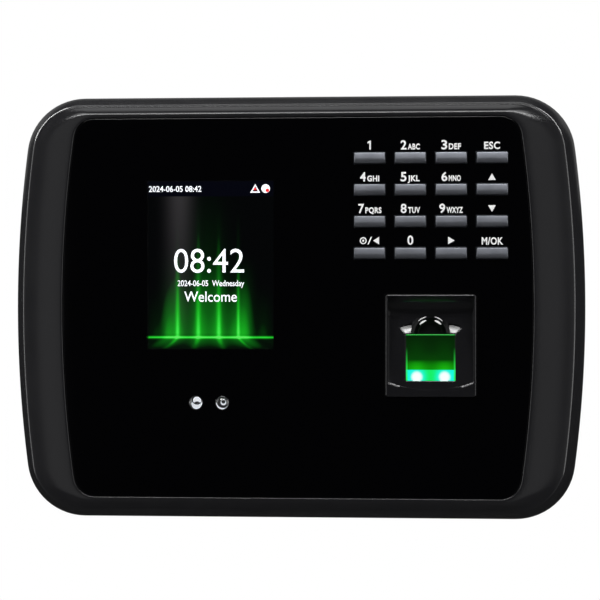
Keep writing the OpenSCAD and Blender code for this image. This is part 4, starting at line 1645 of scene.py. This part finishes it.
    def build(self) -> list[Piece]:
        """Builds and dresses the guide and its glass.

        Returns:
            The guide and the glass.
        """
        low, high = box_mm("sensor_frame")
        outline = guide_box()
        size = outline[1] - outline[0]
        centre = (outline[0] + outline[1]) / 2
        slab = [rounded(centre.x, centre.y, size.x, size.y, 0.9, 6)]
        guide = flat_solid("guide", slab, low.y, low.y + self.back, GUIDE_ABS, self.edge)
        pit = [rounded(centre.x, self.glass_z, self.glass_w, self.glass_h, 0.3, 3)]
        pit = flat_solid("pit_tool", pit, low.y - 3, low.y + 20, GUIDE_ABS)
        for tool in (self.bed_tool(low.y), self.tip_tool(low.y), *self.flare_tools(low.y), pit):
            cut_out(guide, tool)
        give_finish(guide.data, GUIDE_ABS)
        tidy_mesh(guide.data, 40)
        guide = bevelled(guide, self.inner_edge, 2, 38, clamp=False)
        panel_back = box_mm("front_panel")[1].y
        rims = [rounded(centre.x, centre.y, size.x + more, size.y + more, 0.5, 3) for more in (4, -0.4)]
        flange = flat_solid("guide_flange", rims, panel_back + 0.1, panel_back + 1.4, GUIDE_ABS)
        posts = []
        for sx, sz in ((-1, -1), (-1, 1), (1, -1), (1, 1)):
            x, z = centre.x + self.post_at[0] * sx, centre.y + self.post_at[1] * sz
            rings = [circle(x, z, self.post_r), circle(x, z, self.post_bore)]
            posts.append(flat_solid(f"guide_post_{len(posts)}", rings, low.y + self.back - 1, high.y,
                                    GUIDE_ABS))
        whole = join("finger_guide", [guide, flange, *posts, *self.ribs(low.y)])
        return [dress(whole, "guide_plastic", "sensor_frame"), self.glass(low.y)]

    def glass_y(self, front: float, z: float) -> float:
        """Y of the glass's face at a height, along the bed's slope."""
        return front + (z - self.foot_z) * math.tan(math.radians(self.slope)) + 0.12

    def glass(self, front: float) -> Piece:
        """Builds and dresses the lit prism, its face along the bed's slope.

        Args:
            front: Y of the guide's front.

        Returns:
            The prism.
        """
        low_z = self.glass_z - self.glass_h / 2 + 0.06
        high_z = self.glass_z + self.glass_h / 2 - 0.06
        finish = ScannerGlow(
            "optical_prism_lit", "#020604", 0.04, ior=1.52, grain_depth_mm=0.0, glow="#20C060",
            glow_strength=1.0, middle_mm=self.middle(), bottom_mm=low_z, height_mm=high_z - low_z,
        )
        foot, head = self.glass_y(front, low_z), self.glass_y(front, high_z)
        profile = [(foot, low_z), (head, high_z), (head + 1.2, high_z), (head + 4.8, high_z - 3),
                   (foot + 4.8, low_z + 3), (foot + 1.2, low_z)]
        half = self.glass_w / 2 - 0.06
        middle = self.middle()
        bar = prism("scanner_glass", profile, middle - half, middle + half, finish)
        return dress(bevelled(bar, 0.12, 2, 30), "scanner_glass", "sensor_prism")


# ---------------------------------------------------------------- status lights


@dataclass(frozen=True)
class StatusLight:
    """A clear dome over a cup, with painted glints on the cup: glowing arcs, each given as radius, width and
    two angles.
    """

    node: str
    glint_arcs: tuple[Arc, ...]
    radius: float = 2.2
    dome: float = 3.1
    rings: int = 9
    around: int = 40

    def build(self) -> list[Piece]:
        """Builds and dresses the light.

        Returns:
            The dome, the cup and the painted glints on it.
        """
        low, high = box_mm(self.node)
        at = middle_mm(self.node)
        edge = math.asin(self.radius / self.dome)
        angles = [edge * i / self.rings for i in range(self.rings + 1)]
        dome_profile = [(self.dome * math.sin(t), low.y + self.dome * (1 - math.cos(t))) for t in angles]
        flange = high.y - 0.8
        outer = self.radius + 0.8
        dome_profile += [(self.radius, flange), (outer, flange), (outer, high.y), (0.0, high.y)]
        dome = turned(self.node + "_dome", dome_profile, at.x, at.z, CLEAR_LENS, self.around)
        back = high.y
        cup_profile = ((0.0, back + 0.9), (1.6, back + 0.7), (2.4, back + 0.08), (2.8, back + 0.08),
                       (2.8, back + 1.2), (0.0, back + 1.2))
        cup = turned(self.node + "_cup", cup_profile, at.x, at.z, INNER_ABS, self.around)
        # Glowing arcs on the cup: painted glints, standing in for reflections of the lights.
        bright = [
            flat_solid(f"{self.node}_facet_{i}", [arc_band(at.x, at.z, *glint_arc)], back + 0.02, back + 0.06,
                       PAINTED_CUP_GLINTS)
            for i, glint_arc in enumerate(self.glint_arcs)
        ]
        dress(dome, "clear_lens", self.node)
        dress(cup, "inner_plastic")
        glint_arcs = dress(join(self.node + "_facets", bright), "lamp")
        return [dome, cup, glint_arcs]


def arc_band(x: float, z: float, radius: float, width: float, start: float, stop: float) -> list[Point]:
    """Draws a band along an arc, thinning towards both its ends.

    Args:
        x: X of the arc's middle.
        z: Z of the arc's middle.
        radius: The arc's radius.
        width: The band's greatest width.
        start: Angle of its start, in degrees.
        stop: Angle of its end.

    Returns:
        Its outline.
    """
    steps = 20
    outer, inner = [], []
    for i in range(steps + 1):
        t = math.radians(start + (stop - start) * i / steps)
        half = width / 2 * (0.25 + 0.75 * math.sin(math.pi * i / steps))
        outer.append((x + (radius + half) * math.cos(t), z + (radius + half) * math.sin(t)))
        inner.append((x + (radius - half) * math.cos(t), z + (radius - half) * math.sin(t)))
    return outer + inner[::-1]


# Painted glints of each dome: radius, width, start and end angle of each glowing arc.
STATUS_LIGHTS = (
    StatusLight("status_lens_left", (
        (1.72, 0.6, -215, 35), (0.5, 0.85, -10, 190), (0.86, 0.75, -175, -5), (1.95, 0.22, 105, 150),
    )),
    StatusLight("status_lens_right", ((1.2, 0.34, -175, -5), (0.42, 0.3, -200, 20), (0.42, 0.1, 10, 170))),
)


def turned(name: str, profile: Sequence[Point], x: float, z: float, finish: Finish, around: int) -> Piece:
    """Turns a profile about an axis along Y.

    Args:
        name: The piece's name.
        profile: Radius and Y of each point, the first and last on the axis.
        x: X of the axis.
        z: Z of the axis.
        finish: The piece's finish.
        around: Number of steps round it.

    Returns:
        The closed piece.
    """
    rings = []
    vertices: list[Place] = []
    for radius, y in profile:
        if radius < 1e-6:
            rings.append([len(vertices)])
            vertices.append((x, y, z))
            continue
        rings.append(list(range(len(vertices), len(vertices) + around)))
        for i in range(around):
            t = 2 * math.pi * i / around
            vertices.append((x + radius * math.cos(t), y, z + radius * math.sin(t)))
    faces = []
    for here, there in zip(rings, rings[1:]):
        for i in range(around):
            k = (i + 1) % around
            ends = [here[i % len(here)], here[k % len(here)], there[k % len(there)], there[i % len(there)]]
            face = list(dict.fromkeys(ends))
            if len(face) > 2:
                faces.append(face)
    return make_piece(name, vertices, faces, finish, 40)


# ---------------------------------------------------------------- geometry nodes


class Shape(Enum):
    """What a repeat is made of."""

    DISC = "disc"
    DOME = "dome"
    BLOCK = "block"


@dataclass(frozen=True)
class Repeat:
    """A row or grid of equal parts, laid out by a node group.

    All lengths are in millimetres: pitch from part to part along X and Z, and the part's size
    along X, Y and Z.
    """

    name: str
    shape: Shape
    finish: Finish
    at: Place
    pitch: Point
    count: tuple[int, int]
    size: Place

    def build(self) -> Piece:
        """Builds the repeat as a plain mesh."""
        return grown(self.name, repeat_group(self.shape), self.finish, {
            "Pitch X": self.pitch[0] * MM,
            "Pitch Z": self.pitch[1] * MM,
            "Count X": self.count[0],
            "Count Z": self.count[1],
            "Size": tuple(v * MM for v in self.size),
            "Middle": tuple(v * MM for v in self.at),
        })


def new_group(name: str, inputs: Sequence[tuple[str, str]]) -> Tree:
    """Makes a geometry node group with a Geometry in and out, a Finish, and named inputs.

    Args:
        name: The group's name.
        inputs: Name and Blender's socket type of each input.

    Returns:
        The group, still without nodes.
    """
    tree = bpy.data.node_groups.new(name, "GeometryNodeTree")
    tree.interface.new_socket("Geometry", in_out="INPUT", socket_type="NodeSocketGeometry")
    for label, kind in (("Finish", "NodeSocketMaterial"), *inputs):
        tree.interface.new_socket(label, in_out="INPUT", socket_type=kind)
    tree.interface.new_socket("Geometry", in_out="OUTPUT", socket_type="NodeSocketGeometry")
    return tree


def close_group(tree: Tree, geometry: Wire, finish: Wire) -> None:
    """Ends a group: what it made becomes real mesh in the finish it was given.

    Args:
        tree: The group.
        geometry: What it made.
        finish: Its Finish input.
    """
    real = add_node(tree, "GeometryNodeRealizeInstances", {0: geometry})
    smooth = add_node(tree, "GeometryNodeSetShadeSmooth", {"Geometry": real, "Shade Smooth": True})
    done = add_node(tree, "GeometryNodeSetMaterial", {"Geometry": smooth, "Material": finish})
    add_node(tree, "NodeGroupOutput", {0: done})


@lru_cache(maxsize=None)
def repeat_group(shape: Shape) -> Tree:
    """Makes the group that lays out a grid of one shape.

    Args:
        shape: The shape.

    Returns:
        The group.
    """
    tree = new_group("repeat_" + shape.value, (
        ("Pitch X", "NodeSocketFloat"), ("Pitch Z", "NodeSocketFloat"), ("Count X", "NodeSocketInt"),
        ("Count Z", "NodeSocketInt"), ("Size", "NodeSocketVector"), ("Middle", "NodeSocketVector"),
    ))
    given = add_node(tree, "NodeGroupInput").outputs
    gaps = [add_node(tree, MATH, (given["Count " + axis], 1), operation="SUBTRACT") for axis in "XZ"]
    wide = add_node(tree, MATH, (gaps[0], given["Pitch X"]), operation="MULTIPLY")
    tall = add_node(tree, MATH, (gaps[1], given["Pitch Z"]), operation="MULTIPLY")
    single = {axis: add_node(tree, MATH, (given["Count " + axis], 2), operation="MAXIMUM") for axis in "XZ"}
    grid = add_node(tree, "GeometryNodeMeshGrid", {
        "Size X": wide, "Size Y": tall, "Vertices X": single["X"], "Vertices Y": single["Z"],
    })
    stood = add_node(tree, "GeometryNodeTransform", {
        "Geometry": grid, "Translation": given["Middle"], "Rotation": (math.pi / 2, 0, 0),
    })
    merged = add_node(tree, "GeometryNodeMergeByDistance", {"Geometry": stood, "Distance": 1e-6})
    part = part_mesh(tree, shape)
    placed = add_node(tree, "GeometryNodeInstanceOnPoints", {
        "Points": merged, "Instance": part, "Scale": given["Size"],
    })
    close_group(tree, placed, given["Finish"])
    return tree


def part_mesh(tree: Tree, shape: Shape) -> Wire:
    """Adds the part of a repeat, one unit in size, to its group.

    Args:
        tree: The group.
        shape: The part's shape.

    Returns:
        The part.
    """
    if shape is Shape.BLOCK:
        return add_node(tree, "GeometryNodeMeshCube", {"Size": (1, 1, 1)})
    if shape is Shape.DOME:
        return add_node(tree, "GeometryNodeMeshUVSphere",
                        {"Segments": 32, "Rings": 16, "Radius": 0.5})
    disc = add_node(tree, "GeometryNodeMeshCylinder",
                    {"Vertices": 32, "Radius": 0.5, "Depth": 1.0})
    return add_node(tree, "GeometryNodeTransform",
                    {"Geometry": disc, "Rotation": (math.pi / 2, 0, 0)})


@lru_cache(maxsize=None)
def cord_group() -> Tree:
    """Makes the group that lays a round cord along a closed line.

    Returns:
        The group.
    """
    tree = new_group("cord_along_line", (("Radius", "NodeSocketFloat"), ("Flatten", "NodeSocketFloat")))
    given = add_node(tree, "NodeGroupInput").outputs
    line = add_node(tree, "GeometryNodeMeshToCurve", {0: given["Geometry"]})
    ring = add_node(tree, "GeometryNodeCurvePrimitiveCircle", {"Resolution": 16, "Radius": given["Radius"]})
    squash = add_node(tree, "ShaderNodeCombineXYZ", {"X": given["Flatten"], "Y": 1.0, "Z": 1.0})
    shaped = add_node(tree, "GeometryNodeTransform", {"Geometry": ring, "Scale": squash})
    cord = add_node(tree, "GeometryNodeCurveToMesh", {"Curve": line, "Profile Curve": shaped})
    close_group(tree, cord, given["Finish"])
    return tree


def grown(name: str, group: Tree, finish: Finish, inputs: dict[str, object],
          line: Sequence[Place] = ()) -> Piece:
    """Runs a node group and keeps what it makes as a plain mesh.

    Args:
        name: The piece's name.
        group: The group to run.
        finish: The finish that the group sets.
        inputs: Value of each named input.
        line: Points, in millimetres, of a closed line that the group follows.

    Returns:
        The new piece, with no modifier left.
    """
    mesh = bpy.data.meshes.new(name)
    edges = [(i, (i + 1) % len(line)) for i in range(len(line))]
    mesh.from_pydata([Vector(p) * MM for p in line], edges, [])
    piece = link_new(name, mesh)
    set_inputs(add_modifier(piece, "grow", "NODES", node_group=group),
               {"Finish": finish.material(), **inputs})
    evaluated(piece)
    piece.data.name = name
    tidy_mesh(piece.data, 35)
    return piece


@lru_cache(maxsize=None)
def smooth_group() -> Tree:
    """Makes the group that welds a mesh and smooths all but its sharp edges.

    Returns:
        The group.
    """
    tree = new_group("weld_and_smooth", (("Weld", "NodeSocketFloat"), ("Sharp From", "NodeSocketFloat")))
    given = add_node(tree, "NodeGroupInput").outputs
    plain = add_node(tree, "GeometryNodeRemoveAttribute",
                     {"Geometry": given["Geometry"], "Name": "custom_normal"})
    welded = add_node(tree, "GeometryNodeMergeByDistance", {"Geometry": plain, "Distance": given["Weld"]})
    angle = add_node(tree, "GeometryNodeInputMeshEdgeAngle")
    soft = add_node(tree, "FunctionNodeCompare", {0: angle, 1: given["Sharp From"]}, operation="LESS_THAN")
    shaded = welded
    for domain, smooth in (("FACE", True), ("EDGE", soft)):
        shaded = add_node(tree, "GeometryNodeSetShadeSmooth", {"Geometry": shaded, "Shade Smooth": smooth},
                          domain=domain)
    done = add_node(tree, "GeometryNodeSetMaterial",
                    {"Geometry": shaded, "Material": given["Finish"]})
    add_node(tree, "NodeGroupOutput", {0: done})
    return tree


# ---------------------------------------------------------------- parts kept from the CAD


@dataclass(frozen=True)
class Kept:
    """CAD nodes shown as they are, smoothed, with their edges broken and one finish."""

    nodes: tuple[str, ...]
    finish: Finish
    slot: str
    edge: float = 0.12
    sharp: float = 28.0

    def dress(self) -> None:
        """Gives each node its finish, its smoothing and its rounded edges."""
        for name in self.nodes:
            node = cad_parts[name]
            give_finish(node.data, self.finish)
            set_inputs(add_modifier(node, "smooth", "NODES", node_group=smooth_group()), {
                "Finish": self.finish.material(), "Weld": 0.004 * MM, "Sharp From": math.radians(self.sharp),
            })
            if self.edge:
                add_modifier(node, "edge", "BEVEL", width=self.edge * MM, segments=2, limit_method="ANGLE",
                             angle_limit=math.radians(self.sharp + 7))
            flatten(node)
            LOG.info("%s: dressed as %s", name, self.finish.name)


KEPT = (
    Kept(("wall_plate",), ZINC_SHEET, "galvanised_steel", 0.15),
    Kept(("lock_screw", "case_screws"), BLACK_ZINC, "blackened_steel", 0.08),
    Kept(("board_screws", "sensor_screws"), NICKEL, "plated_steel", 0.08),
    Kept(("rear_cover",), CASE_ABS, "case_plastic", 0.0),
    Kept(("panel_tape",), TAPE, "tape", 0.0),
    Kept(("lcd_tray",), NICKEL, "plated_steel", 0.1),
    Kept(("lcd_bracket", "sensor_box", "power_socket", "tamper_switch", "speaker_frame"), INNER_ABS,
         "inner_plastic"),
    Kept(("lcd_ribbon", "sensor_ribbon", "keypad_ribbon"), POLYIMIDE, "flex_cable", 0.03),
    Kept(("status_board", "sensor_board", "keypad_board", "main_board"), SOLDER_MASK, "circuit_board", 0.06),
    Kept(("board_chips",), INNER_ABS, "inner_plastic", 0.1),
    Kept(("sensor_lens",), LENS_GLASS, "lens_glass", 0.06),
    Kept(("sensor_leds",), LAMP, "lamp", 0.05),
    Kept(("keypad_mat",), SILICONE, "silicone", 0.15),
    Kept(("capacitors",), CAN, "capacitor_can", 0.25),
    Kept(("cell_holder",), WHITE_NYLON, "white_plastic", 0.12),
    Kept(("coin_cell", "ethernet_socket", "usb_socket"), NICKEL, "plated_steel", 0.1),
    Kept(("door_terminal",), GREEN_NYLON, "green_plastic", 0.15),
    Kept(("speaker_cone",), PAPER, "speaker_paper", 0.2),
    Kept(("speaker_leads",), SHEATH, "lead_sheath", 0.0, 60.0),
    Kept(("tamper_plunger",), RED_ACETAL, "red_plastic", 0.12),
    Kept(("usb_cover",), SILICONE, "silicone", 0.2),
)


@dataclass(frozen=True)
class Gasket:
    """The round foam cord in the seam of the case, following the case's outline."""

    corner: float = 18.0
    flatten: float = 0.9
    thick: float = 1.2

    def build(self) -> Piece:
        """Builds and dresses the cord.

        Returns:
            The cord.
        """
        low, high = box_mm("seam_gasket")
        outline = Outline(high.x - low.x, high.z - low.z, self.corner).inset(self.thick / 2)
        y = (low.y + high.y) / 2
        line = [(x, y, z) for x, z in outline.points()]
        inputs = {"Radius": self.thick / 2 * MM, "Flatten": self.flatten}
        cord = grown("gasket_cord", cord_group(), FOAM, inputs, line)
        return dress(cord, "foam_rubber", "seam_gasket")


@dataclass(frozen=True)
class Domes:
    """The snap domes under the keys."""

    radius: float = 3.4
    height: float = 0.4

    def build(self) -> Piece:
        """Builds and dresses the domes.

        Returns:
            All sixteen, as one piece.
        """
        low, high = box_mm("contact_domes")
        pitch = ((high.x - low.x - 2 * self.radius) / 3, (high.z - low.z - 2 * self.radius) / 3)
        at = ((low.x + high.x) / 2, high.y, (low.z + high.z) / 2)
        size = (2 * self.radius, 2 * self.height, 2 * self.radius)
        domes = Repeat("snap_domes", Shape.DOME, GOLD, at, pitch, (4, 4), size).build()
        return dress(domes, "gold_plate", "contact_domes")


@dataclass(frozen=True)
class SolderLegs:
    """The legs on both sides of a chip on the main board."""

    name: str
    at: Point
    across: float
    count: int
    pitch: float

    def build(self) -> Piece:
        """Builds and dresses the legs.

        Returns:
            Both rows, as one piece.
        """
        front = box_mm("main_board")[0].y
        at = (self.at[0], front - 0.12, self.at[1])
        size = (1.1, 0.22, 0.4)
        legs = Repeat(self.name, Shape.BLOCK, NICKEL, at, (self.across, self.pitch), (2, self.count),
                      size).build()
        return dress(legs, "plated_steel")


@dataclass(frozen=True)
class TerminalScrews:
    """The row of screw heads in the door terminal."""

    count: int = 6
    pitch: float = 5.08
    radius: float = 1.3

    def build(self) -> Piece:
        """Builds and dresses the heads.

        Returns:
            The row, as one piece.
        """
        low, high = box_mm("door_terminal")
        at = ((low.x + high.x) / 2, high.y - 1.35, (low.z + high.z) / 2 + 2.2)
        size = (2 * self.radius, 1.0, 2 * self.radius)
        heads = Repeat("terminal_screws", Shape.DISC, NICKEL, at, (self.pitch, 1.0), (self.count, 1),
                       size).build()
        return dress(heads, "plated_steel")


LEGS = (
    SolderLegs("legs_processor", (-8, -2), 16.6, 18, 0.8),
    SolderLegs("legs_memory_a", (-30, 20), 12.6, 9, 0.8),
    SolderLegs("legs_memory_b", (-30, 4), 12.6, 9, 0.8),
    SolderLegs("legs_network", (14, 18), 9.6, 10, 0.8),
    SolderLegs("legs_driver", (-44, -34), 10.6, 6, 0.9),
)


# ---------------------------------------------------------------- studio


def point_at(thing: bpy.types.Object, at: Place, aim: Place) -> None:
    """Puts a light or camera in its place and turns it to what it is aimed at.

    Args:
        thing: The light or camera.
        at: Its place in millimetres.
        aim: The point that it faces.
    """
    thing.location = Vector(at) * MM
    thing.rotation_mode = "QUATERNION"
    thing.rotation_quaternion = (Vector(aim) * MM - thing.location).to_track_quat("-Z", "Y")


@dataclass(frozen=True)
class SoftBox:
    """A rectangular soft light, its place and aim in millimetres and its power in watts."""

    name: str
    at: Place
    aim: Place
    size: Point
    power: float

    def build(self) -> None:
        """Hangs the light."""
        data = bpy.data.lights.new(self.name, "AREA")
        data.shape = "RECTANGLE"
        data.size, data.size_y = (side * MM for side in self.size)
        data.energy = self.power
        light = link_new(self.name, data)
        light.visible_camera = False
        point_at(light, self.at, self.aim)


LIGHTS = (
    SoftBox("light_top", (0, 100, 800), (0, -20, 0), (1100, 400), 1.3),
    SoftBox("light_top_front", (0, -640, 780), (0, -30, 0), (1000, 360), 4.0),
    SoftBox("light_strip", (0, -820, 800), (0, -30, -10), (1400, 45), 5.4),
    SoftBox("light_top_left", (-620, 90, 560), (-60, -30, 30), (90, 640), 4.6),
    SoftBox("light_top_right", (620, 60, 560), (60, -30, 30), (90, 500), 2.2),
    SoftBox("light_left", (-820, -360, 60), (0, -20, 0), (240, 900), 1.9),
    SoftBox("light_right", (820, -380, 40), (0, -20, 0), (240, 900), 1.6),
    SoftBox("light_edge_left", (-850, 20, 40), (0, -20, 0), (200, 700), 1.4),
    SoftBox("light_edge_right", (850, 20, 40), (0, -20, 0), (200, 700), 1.2),
    SoftBox("fill_left", (-450, -780, 0), (0, -30, 0), (430, 900), 0.45),
    SoftBox("fill_right", (400, -810, 0), (0, -30, 0), (430, 900), 0.4),
    SoftBox("fill_under", (0, -500, -700), (0, -20, 0), (1000, 500), 0.06),
    SoftBox("light_behind", (0, 600, 1100), (0, 0, 0), (1000, 400), 4.5),
    SoftBox("light_back", (0, 1250, 0), (0, 0, 0), (260, 260), 9.0),
    SoftBox("light_backdrop", (0, 1100, 380), (0, 0, 0), (1700, 480), 0.4),
)


@dataclass(frozen=True)
class Studio:
    """Pale surroundings, soft lights and the camera."""

    floor_z: float = -600.0
    floor_size: float = 2400.0
    camera: Place = (34.39, -575.5, 2.5)
    aim: Place = (1.42, -36.5, 2.5)
    lens: float = 94.9
    dim: float = 0.015

    def build(self) -> None:
        """Sets up the world, the floor, the lights and the camera."""
        self.world()
        half = self.floor_size / 2
        low, high = (-half, -half, self.floor_z - 10), (half, half, self.floor_z)
        floor = block("studio_floor", low, high, FLOOR_PAPER)
        floor.visible_glossy = False
        for light in LIGHTS:
            light.build()
        data = bpy.data.cameras.new("camera")
        data.lens = self.lens
        data.sensor_width = 36
        camera = link_new("camera", data)
        point_at(camera, self.camera, self.aim)
        bpy.context.scene.camera = camera
        bpy.context.scene.view_settings.view_transform = "Standard"

    def world(self) -> None:
        """Makes the surroundings white to the camera and dim to everything else."""
        world = bpy.data.worlds.new("pale_studio")
        bpy.context.scene.world = world
        world.use_nodes = True
        tree = world.node_tree
        tree.nodes.clear()
        seen = add_node(tree, "ShaderNodeLightPath").outputs["Is Camera Ray"]
        dim, white = (
            add_node(tree, "ShaderNodeBackground",
                     {"Color": linear("#FFFFFF"), "Strength": strength})
            for strength in (self.dim, 1.0)
        )
        mixed = add_node(tree, "ShaderNodeMixShader", {0: seen, 1: dim, 2: white})
        add_node(tree, "ShaderNodeOutputWorld", {"Surface": mixed})


def main() -> None:
    """Builds the terminal, assembly by assembly, and the studio round it."""
    logging.basicConfig(level=logging.INFO, format="%(name)s: %(message)s")
    Case().build()
    Panel().build()
    for label in KEY_LABELS:
        Key(label).build()
    Legends().build()
    Display().build()
    Scanner().build()
    for light in STATUS_LIGHTS:
        light.build()
    Gasket().build()
    Domes().build()
    for legs in LEGS:
        legs.build()
    TerminalScrews().build()
    for kept in KEPT:
        kept.dress()
    Studio().build()
    bpy.context.view_layer.update()


if __name__ == "__main__":
    main()
